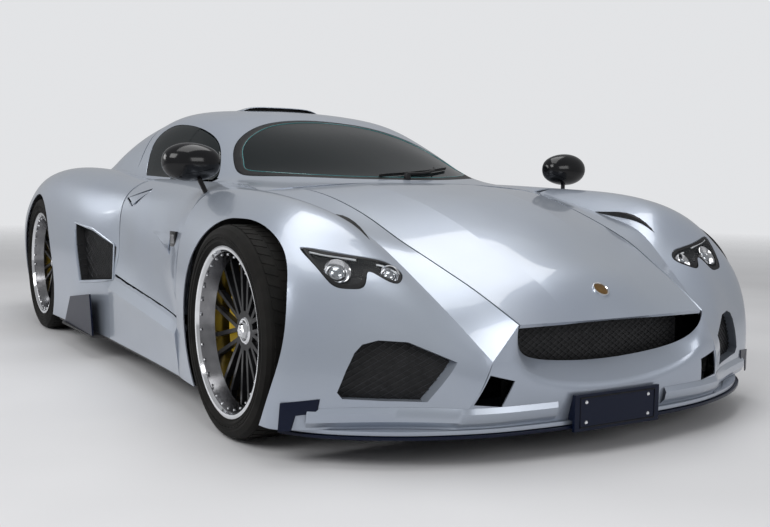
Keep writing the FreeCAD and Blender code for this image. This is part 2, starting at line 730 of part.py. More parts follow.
def make_door():
    rows = [row[:-1] + [row[-1] + Vector(0, 0, shut_gap * 2.6)] for row in door_rows]
    made = panel(rows, size("door_depth"))
    made = made.common(slab(door_rear + shut_gap / 2, door_front - shut_gap * 1.4))
    corner = [
        Vector(door_front, across(0.78), 0),
        Vector(door_front - shut_gap * 1.4, across(0.78), 0),
        Vector(door_front - shut_gap * 1.4 - size("door_corner_relief"), across(0.63), 0),
        Vector(door_front, across(0.63), 0),
    ]
    made = made.cut(prism(corner, Vector(0, 0, roof_height)))
    # The bottom is level across the door, so that its inner edge swings out over the sill.
    bottom = [Vector(row[-1].x, 0, row[-1].z) for row in rows]
    made = made.cut(prism(bottom + [Vector(door_rear, 0, 0), Vector(door_front, 0, 0)], Vector(0, half_width, 0)))
    # Only a thin lip reaches the ends, so that the thick part swings clear of its neighbours.
    thick = panel(rows, size("door_depth") + overrun, start=skin)
    front_end = slab(door_front - shut_gap - size("door_front_lip"), half_length)
    rear_end = slab(-half_length, door_rear + size("door_rear_lip"))
    made = made.cut(thick.common(front_end)).cut(thick.common(rear_end))
    seat = box(door_rear - overrun, window_front + overrun / 2, 0, across(0.69), belt, belt + overrun)
    low = hinge_low
    lug = box(low.x - size("hinge_plate"), door_rear + size("door_rear_lip") + overrun / 2,
              low.y - size("hinge_plate") * 2, low.y + size("hinge_plate"), low.z, low.z + size("hinge_plate") * 2)
    outer = panel(door_rows, overrun, start=-overrun)
    recess = panel(door_rows, size("handle_depth") + overrun, start=-overrun)
    made = made.cut(recess.common(prism(side_outline(side_handle_shares, half_width / 2), Vector(0, half_width, 0))))
    return made.cut(seat).fuse([lug.cut(outer), hinge_pin(size("hinge_pin_radius"))]).removeSplitter()


def make_rear_quarters():
    rows = with_first_column(quarter_rows, seam_gap)
    made = panel(rows, skin)
    made = made.cut(slab(door_rear - size("door_swing_gap"), front_axle))
    made = made.cut(arch(rear_axle, size("arch_radius_rear"), rear_wheel_height))
    made = made.cut(prism(side_outline(side_intake_shares, half_width / 2), Vector(0, half_width, 0)))
    return both(flat_bottom(made))


def make_engine_cover():
    rows = full_rows(with_first_column(upper_rows, -shut_gap * 1.4))
    made = cover_sheet().cut(both(panel(quarter_rows, skin + shut_gap * 2, start=-shut_gap)))
    for share in louvre_shares:
        made = made.cut(box(along(share), along(share) + size("louvre_length"), -size("louvre_half_width"),
                            size("louvre_half_width"), 0, roof_height))
    over = panel(rows, overrun + size("lid_depth") / 2, start=-overrun)
    lug = lid_lug(cover_axis).cut(over)
    return made.fuse([lug, mirrored(lug)])


def make_sills():
    made = panel(rows_of(sill_shares), size("sill_depth"), creases=(1,))
    made = made.common(slab(door_rear + seam_gap, door_front - seam_gap))
    return both(flat_bottom(made))


def make_rear_bumper():
    rows = rows_of(fascia_shares)
    rows = [[row[0] - Vector(0, seam_gap, 0)] + row[1:] for row in rows]
    made = panel(full_rows(rows), skin)
    made = made.cut(both(panel(quarter_rows, skin + seam_gap * 2, start=-seam_gap)))
    for share in tail_lamp_shares:
        hole = tail_lamp_cylinder(size("tail_lamp_radius"), share)
        made = made.cut(hole).cut(mirrored(hole))
    for side in (-1, 1):
        hole = Part.makeCylinder(size("exhaust_radius") + shut_gap, half_length,
                                 Vector(-half_length - overrun, side * size("exhaust_spread"),
                                        size("exhaust_height")), Vector(1, 0, 0))
        made = made.cut(hole)
    return made


# Wheels, brakes and suspension


def ring(outer, inner, width, x, y, z):
    """Ring round an axle line, from y outward."""
    start = Vector(x, y, z)
    solid = Part.makeCylinder(outer, width, start, Vector(0, 1, 0))
    return solid.cut(Part.makeCylinder(inner, width, start, Vector(0, 1, 0))) if inner else solid


def turned(points, x, z):
    """Solid of revolution about an axle; each point is a radius and a place across the car."""
    outline = [Vector(x, y, z + radius) for radius, y in points]
    face = Part.Face(Part.makePolygon(outline + outline[:1]))
    return face.revolve(Vector(x, 0, z), Vector(0, 1, 0), 360)


def make_rim(x, middle, width, z, disc_face):
    """Deep-lipped rim with ten pairs of spokes; built on the left side."""
    flange = size("rim_diameter") / 2
    wall = size("rim_barrel_wall")
    lip = size("rim_lip_height")
    drop = size("rim_drop")
    outer = middle + width / 2
    inner = middle - width / 2
    barrel = turned([
        (flange, outer),
        (flange, outer - wall),
        (flange - lip, outer - wall * 2),
        (flange - lip - drop, outer - size("rim_lip_depth")),
        (flange - lip - drop, inner + wall * 4),
        (flange - lip, inner + wall * 2),
        (flange, inner + wall),
        (flange, inner),
        (flange - lip - wall, inner),
        (flange - lip - wall - drop, inner + wall * 4),
        (flange - lip - wall - drop, outer - size("rim_lip_depth")),
        (flange - lip - wall, outer - wall * 2),
        (flange - wall, outer),
    ], x, z)
    depth = size("rim_spoke_depth")
    hub_face = outer - size("rim_face_inset")
    hub = ring(size("rim_hub_radius"), 0, hub_face - disc_face, x, disc_face, z)
    count = int(size("rim_spoke_pairs"))
    reach = flange - lip - drop - wall / 2
    spread = size("rim_spoke_spread")
    half = size("rim_spoke_width") / 2
    spokes = []
    for side in (-1, 1):
        root = side * spread * 0.35
        tip = side * spread
        outline = [
            Vector(x + root - half, hub_face - depth, z),
            Vector(x + root + half, hub_face - depth, z),
            Vector(x + tip + half, hub_face - depth, z + reach),
            Vector(x + tip - half, hub_face - depth, z + reach),
        ]
        spokes.append(prism(outline, Vector(0, depth, 0)))
    pair = spokes[0].fuse(spokes[1])
    pairs = []
    for index in range(count):
        copy = pair.copy()
        copy.rotate(Vector(x, 0, z), Vector(0, 1, 0), 360 / count * index)
        pairs.append(copy)
    made = barrel.fuse([hub] + pairs)
    return made.removeSplitter()


def make_tyre(x, middle, width, diameter, z):
    """Tyre with rounded shoulders, seated on the rim's flanges."""
    seat = size("rim_diameter") / 2 + seam_gap
    radius = diameter / 2
    half = width / 2
    shoulder = size("tyre_shoulder")
    return turned([
        (seat, middle - half + shoulder * 0.6),
        (seat + shoulder * 0.4, middle - half + shoulder * 0.15),
        (radius - shoulder, middle - half),
        (radius - shoulder * 0.35, middle - half + shoulder * 0.3),
        (radius - shoulder * 0.1, middle - half + shoulder * 0.8),
        (radius, middle - half + shoulder * 1.6),
        (radius, middle + half - shoulder * 1.6),
        (radius - shoulder * 0.1, middle + half - shoulder * 0.8),
        (radius - shoulder * 0.35, middle + half - shoulder * 0.3),
        (radius - shoulder, middle + half),
        (seat + shoulder * 0.4, middle + half - shoulder * 0.15),
        (seat, middle + half - shoulder * 0.6),
    ], x, z)


def make_disc(x, outer_face, z):
    """Brake disc with its hat, bored for the hub pin."""
    thick = size("disc_thickness")
    disc = ring(size("disc_diameter") / 2, 0, thick, x, outer_face - thick, z)
    bore = ring(size("hub_pin_radius") + size("running_clearance") / 2, 0, thick, x, outer_face - thick, z)
    return disc.cut(bore)


def make_caliper(x, outer_face, z):
    """Caliper that straddles the rear edge of the disc."""
    thick = size("disc_thickness")
    cheek = size("caliper_cheek")
    clear = size("running_clearance") * 2
    radius = size("disc_diameter") / 2
    inner = outer_face - thick - clear - cheek
    body = ring(radius + cheek / 2, radius - size("caliper_width"), thick + 2 * clear + 2 * cheek, x, inner, z)
    slot = ring(radius + clear, 0, thick + 2 * clear, x, inner + cheek, z)
    reach = size("caliper_reach")
    window = box(x - radius - cheek, x - radius / 2, inner, outer_face + cheek + clear, z - reach, z + reach)
    return body.cut(slot).common(window)


def make_knuckle(x, z):
    """Front upright: hub pin, kingpin post and the two ball ends."""
    face = size("disc_outer_face") - size("disc_thickness") - size("running_clearance") * 2
    pivot = size("kingpin_across")
    pin = size("hub_pin_radius")
    carrier = ring(size("hub_radius"), 0, face - pivot, x, pivot, z)
    stub = ring(pin, 0, size("hub_pin_length"), x, face, z)
    post = Part.makeCylinder(size("steering_pin_radius"), size("kingpin_height") * 2,
                             Vector(x, pivot, z - size("kingpin_height")))
    bracket = caliper_bracket(x, face, z)
    return carrier.fuse([stub, post, bracket]).removeSplitter()


def caliper_bracket(x, face, z):
    """Arm from the hub carrier out to the caliper's inner cheek."""
    inner = face - size("caliper_cheek")
    arm = size("hub_radius") / 2
    return box(x - size("disc_diameter") / 2 + size("caliper_width") * 0.3, x, inner - arm - seam_gap,
               inner - seam_gap, z - arm, z + arm)


def make_rear_upright(x, z):
    face = size("rear_disc_outer_face") - size("disc_thickness") - size("running_clearance") * 2
    inner = face - size("hub_depth")
    carrier = ring(size("hub_radius"), 0, size("hub_depth"), x, inner, z)
    stub = ring(size("hub_pin_radius"), 0, size("hub_pin_length"), x, face, z)
    post = box(x - size("hub_radius") / 2, x + size("hub_radius") / 2, inner, inner + size("hub_depth") / 2,
               z - size("kingpin_height"), z + size("kingpin_height"))
    return carrier.fuse([stub, post, caliper_bracket(x, face, z)]).removeSplitter()


def make_arms(x, z, pivot, radius, chassis):
    """Upper and lower wishbones from the chassis side to the upright."""
    rod = size("arm_radius")
    arms = []
    for level in (-1, 1):
        height = z + level * size("kingpin_height") * 0.8
        for side in (-1, 1):
            start = Vector(x + side * size("arm_spread"), chassis - rod, height)
            end = Vector(x, pivot, height)
            length = (end - start).Length
            arms.append(Part.makeCylinder(rod, length, start, end - start))
        arms.append(Part.makeCylinder(radius + rod / 2, rod * 2, Vector(x, pivot, height - rod)))
    made = arms[0].fuse(arms[1:])
    post = Part.makeCylinder(radius + seam_gap, size("kingpin_height") * 4,
                             Vector(x, pivot, z - size("kingpin_height") * 2))
    inside = box(x - size("arm_spread") * 2, x + size("arm_spread") * 2, 0, chassis, 0, roof_height)
    return made.cut(post).cut(inside)


# Floor, bulkheads and inner structure


def slice_under(x0, x1, half, top):
    """Upright wall under the cabin shell, trimmed a seam below the shell's inner face."""
    wall = box(x0, x1, -half, half, floor_top - size("floor_thickness"), top)
    cover = panel(full_rows(upper_rows), size("roof_depth") + seam_gap + overrun * 4, start=-overrun * 4)
    return wall.cut(cover)


def make_floor_pan():
    half = plan_outline(plan_floor_shares, floor_top - size("floor_thickness"))
    points = half + [flipped(point) for point in half[-2:0:-1]]
    floor = prism(points, Vector(0, 0, size("floor_thickness")))
    wall = size("bulkhead_thickness")
    bin_wall = size("bin_wall")
    bin_half = size("chassis_half_width")
    front = box(along(0.438), along(0.747), -bin_half, bin_half, floor_top, size("bin_height"))
    hollow = box(along(0.438) + bin_wall, along(0.747) - bin_wall, bin_wall - bin_half, bin_half - bin_wall,
                 floor_top + bin_wall, size("bin_height"))
    front = front.cut(hollow)
    firewall = slice_under(door_front - wall * 2, door_front - wall, across(0.617), up(0.70))
    rear_wall = slice_under(cabin_rear + wall, cabin_rear + wall * 2, across(0.637), roof_height)
    rail = box(along(-0.80), cabin_rear + wall, size("rail_inner"), bin_half, floor_top, size("rail_height"))
    post = box(door_rear - size("post_depth"), door_rear - shut_gap * 1.5, across(0.755), across(0.825),
               floor_top, up(0.60))
    brackets = [hinge_bracket(), lid_bracket(bonnet_axis, door_front - wall),
                lid_bracket(cover_axis, cabin_rear + wall)]
    made = floor.fuse([front, firewall, rear_wall, rail, mirrored(rail), post, mirrored(post)]
                      + brackets + [mirrored(bracket) for bracket in brackets])
    pin = hinge_pin(size("hinge_pin_radius") + size("pin_clearance"))
    return made.cut(pin).cut(mirrored(pin)).removeSplitter()


# The doors turn on pins that lean back and in, so that the glass clears the screen pillar.
hinge_low = place((-0.056, 0.884, 0.326))
hinge_high = place((-0.066, 0.872, 0.446))


def hinge_pin(radius):
    reach = (hinge_high - hinge_low) * 1.25
    return Part.makeCylinder(radius, reach.Length, hinge_low, reach)


def hinge_bracket():
    plate = size("hinge_plate") * 2
    middle = hinge_high
    return box(middle.x - plate, door_rear - shut_gap * 0.7, across(0.80), middle.y + plate * 0.45,
               middle.z - plate * 0.4, middle.z + plate * 0.8).cut(
        panel(quarter_rows, overrun + skin + seam_gap, start=-overrun))


def make_splitter():
    half = plan_outline(plan_splitter_shares, floor_top - size("splitter_thickness"))
    points = half + [flipped(point) for point in half[-1:0:-1]]
    nose = Part.BSplineCurve()
    nose.interpolate(Points=[flipped(point) for point in half[-1:0:-1]] + half)
    back = Part.makeLine(half[-1], flipped(half[-1]))
    plate = Part.Face(Part.Wire([nose.toShape(), back])).extrude(Vector(0, 0, size("splitter_thickness")))
    fin_outline = side_outline(side_fin_shares, across(0.925))
    fin = prism(fin_outline, Vector(0, size("fin_thickness"), 0))
    fin = fin.cut(panel(fender_rows, overrun * 2, creases=(1,), start=-seam_gap))
    return plate.fuse([fin, mirrored(fin)]).removeSplitter()


def make_winglets():
    blade = prism(side_outline(side_winglet_shares, across(0.972)), Vector(0, size("fin_thickness"), 0))
    return both(flat_bottom(blade))


def make_diffuser():
    plate = prism(side_outline(side_diffuser_shares, -size("diffuser_half_width")),
                  Vector(0, size("diffuser_half_width") * 2, 0))
    fins = []
    for share in diffuser_fin_shares:
        fin = prism(side_outline(side_diffuser_fin_shares, share * size("diffuser_half_width")),
                    Vector(0, size("fin_thickness"), 0))
        fins = fins + [fin, mirrored(fin)]
    return plate.fuse(fins).removeSplitter()


# Lamps, meshes and ducts


def make_headlights():
    lamp = panel(fender_rows, size("lamp_depth"), creases=(1,), start=size("glass_inset"))
    return both(lamp.common(headlight_prism(seam_gap * 2)).cut(front_arch(shut_gap)))


def tail_lamp_cylinder(radius, share):
    return Part.makeCylinder(radius, half_length, Vector(-half_length - overrun, across(share), up(0.515)),
                             Vector(1, 0, 0))


def make_tail_lights():
    lens = panel(rows_of(fascia_shares), size("lamp_depth"), start=size("glass_inset"))
    radius = size("tail_lamp_radius") - seam_gap
    lamps = [lens.common(tail_lamp_cylinder(radius, share)) for share in tail_lamp_shares]
    return both(Part.makeCompound(lamps))


def make_grilles():
    mesh = size("mesh_thickness")
    back = size("mesh_setback")
    mouth = box(along(0.872), along(0.872) + mesh, -across(0.345), across(0.345), floor_top + seam_gap, up(0.335))
    big = panel(fender_rows, mesh, creases=(1,), start=back)
    big = big.common(box(axle_middle, half_length, across(0.50), across(0.90), floor_top + seam_gap, up(0.35)))
    big = big.cut(front_arch(back / 2))
    return Part.makeCompound([mouth, big, mirrored(big)])


def make_front_ducts():
    """Painted sleeve round each large front intake, from the skin back to its mesh."""
    points = front_outline(front_big_intake_shares, half_length + overrun)
    reach = Vector(-half_width, 0, 0)
    ring_prism = prism(shrunk(points, -size("mesh_thickness")), reach).cut(prism(points, reach))
    depth = size("mesh_setback") - skin - seam_gap * 2
    sleeve = panel(fender_rows, depth - seam_gap, creases=(1,), start=skin + seam_gap * 2)
    return both(flat_bottom(sleeve.common(ring_prism).cut(front_arch(shut_gap))))


def make_side_ducts():
    """Short duct and mesh behind each side intake."""
    wall = size("mesh_thickness")
    points = side_outline(side_intake_shares, half_width / 2)
    outer = prism(shrunk(points, -wall), Vector(0, half_width, 0))
    inner = prism(points, Vector(0, half_width, 0))
    sleeve = panel(quarter_rows, size("duct_depth"), start=skin + seam_gap).common(outer.cut(inner))
    mesh = panel(quarter_rows, wall, start=skin + seam_gap + size("duct_depth") - wall).common(outer)
    return both(sleeve.fuse(mesh))


# Cabin and engine


def make_engine():
    block = box(along(-0.537), along(-0.318), -size("engine_half_width"), size("engine_half_width"),
                floor_top + seam_gap, size("engine_height"))
    gearbox = box(along(-0.75), along(-0.537), -size("gearbox_half_width"), size("gearbox_half_width"),
                  floor_top + seam_gap, size("gearbox_height"))
    return block.fuse(gearbox).removeSplitter()


def make_exhaust():
    radius = size("exhaust_radius")
    pipes = []
    for side in (-1, 1):
        start = Vector(along(-0.75) - seam_gap, side * size("exhaust_spread"), size("exhaust_height"))
        reach = start.x - along(-1.045)
        pipe = Part.makeCylinder(radius, reach, start, Vector(-1, 0, 0))
        pipes.append(pipe.cut(Part.makeCylinder(radius - wall_of_pipe, reach, start, Vector(-1, 0, 0))))
    return Part.makeCompound(pipes)


def make_seats():
    profile = side_outline(side_seat_shares, size("seat_across") - size("seat_width") / 2)
    seat = prism(profile, Vector(0, size("seat_width"), 0))
    return both(seat)


def make_dashboard():
    profile = side_outline(side_dashboard_shares, -size("dashboard_half_width"))
    made = prism(profile, Vector(0, size("dashboard_half_width") * 2, 0))
    return made.cut(steering_column(size("column_radius") + seam_gap, size("column_length") + seam_gap))


def steering_column(radius, length):
    tilt = math.radians(size("steering_wheel_tilt"))
    return Part.makeCylinder(radius, length, place(steering_wheel_shares),
                             Vector(math.sin(tilt), 0, math.cos(tilt)))


def make_steering_wheel():
    rim = Part.makeTorus(size("steering_wheel_radius"), size("steering_wheel_grip"))
    hub = Part.makeCylinder(size("steering_wheel_hub"), size("steering_wheel_grip") * 2,
                            Vector(0, 0, -size("steering_wheel_grip")))
    spokes = box(-size("steering_wheel_radius"), size("steering_wheel_radius"), -size("steering_wheel_grip"),
                 size("steering_wheel_grip"), -size("steering_wheel_grip") / 2, size("steering_wheel_grip") / 2)
    made = rim.fuse([hub, spokes])
    made.rotate(Vector(), Vector(0, 1, 0), size("steering_wheel_tilt"))
    made.translate(place(steering_wheel_shares))
    return made.fuse(steering_column(size("column_radius"), size("column_length"))).removeSplitter()


def make_mirror():
    """Pod turned about a line across the car, flat at the back, on a stalk from the door."""
    foot = place(mirror_foot_shares)
    head = place(mirror_head_shares)
    half = size("mirror_half_width")
    outline = [head + Vector(radius * half, reach * half, 0) for radius, reach in mirror_pod_shares]
    arc = Part.BSplineCurve()
    arc.interpolate(Points=outline)
    closing = Part.makeLine(outline[-1], outline[0])
    housing = Part.Face(Part.Wire([arc.toShape(), closing])).revolve(head, Vector(0, 1, 0), 360)
    housing = housing.toNurbs()
    face = box(head.x - half, head.x - size("mirror_cut"), head.y - half * 2, head.y + half * 2,
               head.z - half, head.z + half)
    stalk = Part.makeCylinder(size("mirror_stalk_radius"), (head - foot).Length, foot, head - foot)
    clear = panel(door_rows, size("door_depth") + seam_gap * 3, start=-seam_gap * 1.5)
    return housing.cut(face).fuse(stalk).cut(clear)


# Small outlines and places, as shares
side_fin_shares = [(0.776, 0.086), (0.848, 0.086), (0.836, 0.163), (0.786, 0.156)]
side_winglet_shares = [(-0.104, 0.085), (-0.124, 0.245), (-0.29, 0.205), (-0.345, 0.085)]
side_diffuser_shares = [(-0.8184, 0.0816), (-1.036, 0.197), (-1.036, 0.206), (-0.8184, 0.0901)]
side_diffuser_fin_shares = [(-0.85, 0.098), (-1.036, 0.200), (-1.045, 0.11), (-0.92, 0.080)]
diffuser_fin_shares = [0.15, 0.45, 0.78]
side_seat_shares = [
    (0.088, 0.0905), (0.112, 0.27), (0.09, 0.30), (-0.06, 0.24), (-0.13, 0.52), (-0.165, 0.70),
    (-0.195, 0.71), (-0.205, 0.66), (-0.15, 0.33), (-0.125, 0.0905),
]
side_dashboard_shares = [
    (0.3553, 0.36), (0.3553, 0.625), (0.27, 0.625), (0.235, 0.60), (0.222, 0.56), (0.25, 0.45), (0.285, 0.36),
]
steering_wheel_shares = (0.155, 0.333, 0.535)
mirror_foot_shares = (0.352, 0.816, 0.64)
mirror_head_shares = (0.331, 0.856, 0.737)
mirror_pod_shares = [(0, -1), (0.36, -0.9), (0.58, -0.5), (0.66, 0), (0.6, 0.5), (0.38, 0.88), (0, 1)]
tail_lamp_shares = [0.62, 0.42]
louvre_shares = [-0.46, -0.505, -0.55, -0.595, -0.64, -0.685, -0.73]
plate_shares = [0.0644, 0.1588]
plate_front_share = 0.9257
plate_back_share = 0.909
side_handle_shares = [(-0.050, 0.612), (0.040, 0.650), (0.048, 0.640), (0.010, 0.588), (-0.008, 0.583)]
wall_of_pipe = size("pipe_wall")


# Assembly

front_set = (front_axle, front_wheel_height)
rear_set = (rear_axle, rear_wheel_height)
chassis_side = size("chassis_half_width") + seam_gap
rear_face = size("rear_disc_outer_face") - size("disc_thickness") - size("running_clearance") * 2

front_rim = make_rim(front_axle, size("front_half_track"), size("front_rim_width"), front_wheel_height,
                     size("disc_outer_face"))
rear_rim = make_rim(rear_axle, size("rear_half_track"), size("rear_rim_width"), rear_wheel_height,
                    size("rear_disc_outer_face"))
front_tyre = make_tyre(front_axle, size("front_half_track"), size("front_tyre_width"),
                       size("front_tyre_diameter"), front_wheel_height)
rear_tyre = make_tyre(rear_axle, size("rear_half_track"), size("rear_tyre_width"),
                      size("rear_tyre_diameter"), rear_wheel_height)
front_disc = make_disc(front_axle, size("disc_outer_face"), front_wheel_height)
rear_disc = make_disc(rear_axle, size("rear_disc_outer_face"), rear_wheel_height)
front_caliper = make_caliper(front_axle, size("disc_outer_face"), front_wheel_height)
rear_caliper = make_caliper(rear_axle, size("rear_disc_outer_face"), rear_wheel_height)
knuckle = make_knuckle(front_axle, front_wheel_height)
rear_arms = make_arms(rear_axle, rear_wheel_height, rear_face - size("hub_depth") * 0.75,
                      size("steering_pin_radius"), chassis_side)
rear_upright = make_rear_upright(rear_axle, rear_wheel_height)
front_arms = make_arms(front_axle, front_wheel_height, size("kingpin_across"),
                       size("steering_pin_radius"), chassis_side)

pieces = {
    "rim_fl": front_rim,
    "rim_fr": mirrored(front_rim),
    "rim_rl": rear_rim,
    "rim_rr": mirrored(rear_rim),
    "tyre_fl": front_tyre,
    "tyre_fr": mirrored(front_tyre),
    "tyre_rl": rear_tyre,
    "tyre_rr": mirrored(rear_tyre),
    "disc_fl": front_disc,
    "disc_fr": mirrored(front_disc),
    "disc_rl": rear_disc,
    "disc_rr": mirrored(rear_disc),
    "caliper_fl": front_caliper,
    "caliper_fr": mirrored(front_caliper),
    "rear_calipers": both(rear_caliper),
    "knuckle_fl": knuckle,
    "knuckle_fr": mirrored(knuckle),
    "rear_uprights": both(rear_upright),
    "front_suspension": both(front_arms),
    "rear_suspension": both(rear_arms.cut(rear_upright)),
    "floor_pan": make_floor_pan(),
    "front_splitter": make_splitter(),
    "front_bumper": make_front_bumper(),
    "front_fenders": make_front_fenders(),
    "bonnet": make_bonnet(),
    "cabin_frame": make_cabin_frame(),
    "windscreen": make_windscreen(),
    "quarter_glass": both(make_quarter_glass()),
    "rear_quarters": make_rear_quarters(),
    "sills": make_sills(),
    "side_winglets": make_winglets(),
    "engine_cover": make_engine_cover(),
    "rear_bumper": make_rear_bumper(),
    "diffuser": make_diffuser(),
    "headlights": make_headlights(),
    "tail_lights": make_tail_lights(),
    "grilles": make_grilles(),
    "front_ducts": make_front_ducts(),
    "plate_holder": make_plate_holder(),
    "side_ducts": make_side_ducts(),
    "engine_block": make_engine(),
    "exhaust": make_exhaust(),
    "seats": make_seats(),
    "dashboard": make_dashboard(),
    "steering_wheel": make_steering_wheel(),
}
for side, place_on in (("left", lambda shape: shape), ("right", mirrored)):
    pieces["door_" + side] = place_on(make_door())
    pieces["door_glass_" + side] = place_on(make_door_glass())
    pieces["mirror_" + side] = place_on(make_mirror())

for name, shape in pieces.items():
    node = doc.addObject("Part::Feature", name)
    node.Label = name
    node.Shape = shape
doc.recompute()

os.makedirs("parts", exist_ok=True)
for name in pieces:
    node = doc.getObject(name)
    if "Invalid" in node.State or "Error" in node.State or node.Shape.isNull() or not node.Shape.isValid():
        raise RuntimeError("bad shape: " + name)
    node.Shape.exportStep("parts/" + name + ".step")
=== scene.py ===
import json
import math

import bmesh
import bpy
from mathutils import Matrix, Vector
from mathutils.bvhtree import BVHTree


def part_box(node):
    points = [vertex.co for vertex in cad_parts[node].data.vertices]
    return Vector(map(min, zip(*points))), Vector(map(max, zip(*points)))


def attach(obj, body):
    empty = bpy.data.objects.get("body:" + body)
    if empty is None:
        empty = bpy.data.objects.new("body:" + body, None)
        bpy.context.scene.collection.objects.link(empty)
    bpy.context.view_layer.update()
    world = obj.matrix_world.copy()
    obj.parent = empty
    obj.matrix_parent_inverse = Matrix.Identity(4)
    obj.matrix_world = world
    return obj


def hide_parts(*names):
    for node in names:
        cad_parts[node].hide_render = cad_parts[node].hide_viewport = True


# A mid-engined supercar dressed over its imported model.
# Metres; +X is the nose, +Y the car's left, and Z goes up from the ground.

CAMERA_PLACE = (4.253, -2.087, 0.8)
CAMERA_YAW, CAMERA_PITCH, CAMERA_ROLL = 149.09, -4.83, 0.65  # degrees
CAMERA_LENS, SENSOR_WIDTH, CAMERA_REACH = 45.79, 36, 200
LIGHT_AIM = (0, 0, 0.5)
LIGHTS = {  # place, size, power
    "key": ((3, -5.5, 5), (4, 3), 215),
    "top": ((0.5, 0.5, 5.5), (6, 3), 165),
    "side": ((-3.5, -5, 2.6), (3, 2), 90),
    "front": ((6.5, 1.5, 2.5), (3, 2), 60),
}
WORLD_COLOR = (0.9, 0.91, 0.93, 1)
WORLD_LEVEL, BACKGROUND_LEVEL = 0.42, 0.85
FLOOR_SIZE, FLOOR_HEIGHT = 60, -0.0018
FLOOR_FADE = (4.5, 13)  # the floor gives way to the background between these distances
MID_WHEELBASE = 0.155  # outlines that start from the middle of the wheelbase are moved by this
FRONT_TYRE, REAR_TYRE = (0.33, 0.255), (0.344, 0.318)  # radius, width
WHEELS = {"fl": FRONT_TYRE, "fr": FRONT_TYRE, "rl": REAR_TYRE, "rr": REAR_TYRE}
DOORS = ((1, "door_left"), (-1, "door_right"))  # side of the car first


# Camera, light and stage

def add_object(name, data):
    made = bpy.data.objects.new(name, data)
    bpy.context.scene.collection.objects.link(made)
    return made


def add_camera():
    """Camera at the photograph's viewing angle, fitted to the wheels and body lines."""
    data = bpy.data.cameras.new("camera")
    data.sensor_width = SENSOR_WIDTH
    data.lens = CAMERA_LENS
    data.clip_end = CAMERA_REACH
    camera = add_object("camera", data)
    yaw, pitch, roll = math.radians(CAMERA_YAW), math.radians(CAMERA_PITCH), math.radians(CAMERA_ROLL)
    aim = Vector((math.cos(yaw) * math.cos(pitch), math.sin(yaw) * math.cos(pitch), math.sin(pitch)))
    turn = aim.to_track_quat("-Z", "Y").to_matrix().to_4x4()
    camera.matrix_world = at(CAMERA_PLACE) @ turn @ Matrix.Rotation(roll, 4, "Z")
    bpy.context.scene.camera = camera


def add_light(name, place, size, power):
    data = bpy.data.lights.new(name, "AREA")
    data.shape = "RECTANGLE"
    data.size, data.size_y = size
    data.energy = power
    light = add_object(name, data)
    light.location = place
    light.rotation_euler = (Vector(LIGHT_AIM) - Vector(place)).to_track_quat("-Z", "Y").to_euler()


def light_world():
    """Even pale world, brighter where the camera sees it than where it lights the car."""
    world = bpy.context.scene.world or bpy.data.worlds.new("world")
    bpy.context.scene.world = world
    world.use_nodes = True
    tree = world.node_tree
    seen = add_node(tree, "ShaderNodeLightPath").outputs["Is Camera Ray"]
    level = add_node(tree, "ShaderNodeMapRange", Value=seen, To_Min=WORLD_LEVEL, To_Max=BACKGROUND_LEVEL)
    set_values(tree.nodes["Background"], Color=WORLD_COLOR, Strength=level.outputs[0])


def add_floor():
    """Wide pale floor that fades into the background."""
    pale = surface("pale_floor", (0.6, 0.6, 0.61), (0.66, 0.66, 0.67), 0.6, scale=1, bump=0.02)
    tree = pale.node_tree
    reach = add_node(tree, "ShaderNodeVectorMath", operation="LENGTH", Vector=coordinates(tree))
    near, far = FLOOR_FADE
    fade = add_node(tree, "ShaderNodeMapRange", Value=reach.outputs["Value"], From_Min=near, From_Max=far,
                    To_Min=1, To_Max=0)
    set_values(tree.nodes["Principled BSDF"], Alpha=fade.outputs[0])
    bpy.ops.mesh.primitive_plane_add(size=FLOOR_SIZE, location=(0, 0, FLOOR_HEIGHT))
    floor = bpy.context.object
    floor.name = "floor"
    floor.data.materials.append(pale)


# Materials

def set_values(node, **values):
    """Values or links for a node's sockets, and values for the node itself where it has no such socket."""
    for key, value in values.items():
        socket = key.replace("_", " ")
        if isinstance(value, bpy.types.NodeSocket):
            node.id_data.links.new(value, node.inputs[socket])
        elif socket in node.inputs:
            node.inputs[socket].default_value = value
        else:
            setattr(node, key, value)


def add_node(tree, kind, **values):
    node = tree.nodes.new(kind)
    set_values(node, **values)
    return node


def new_material(name, **values):
    """Material, its node tree, and its shader with the values set on it."""
    made = bpy.data.materials.new(name)
    made.use_nodes = True
    shader = made.node_tree.nodes["Principled BSDF"]
    set_values(shader, **values)
    return made, made.node_tree, shader


def coordinates(tree):
    return add_node(tree, "ShaderNodeTexCoord").outputs["Object"]


def noise(tree, scale, detail=2):
    return add_node(tree, "ShaderNodeTexNoise", Vector=coordinates(tree), Scale=scale, Detail=detail,
                    Roughness=0.5).outputs[0]


def ramp(tree, source, *stops):
    """Blend of two colours, each given with its place from 0 to 1."""
    node = add_node(tree, "ShaderNodeValToRGB", Fac=source)
    for element, (place, color) in zip(node.color_ramp.elements, stops):
        element.position = place
        element.color = (*color, 1)
    return node.outputs[0]


def multiplied(tree, first, second, share):
    return add_node(tree, "ShaderNodeMixRGB", blend_type="MULTIPLY", Fac=share, Color1=first,
                    Color2=second).outputs[0]


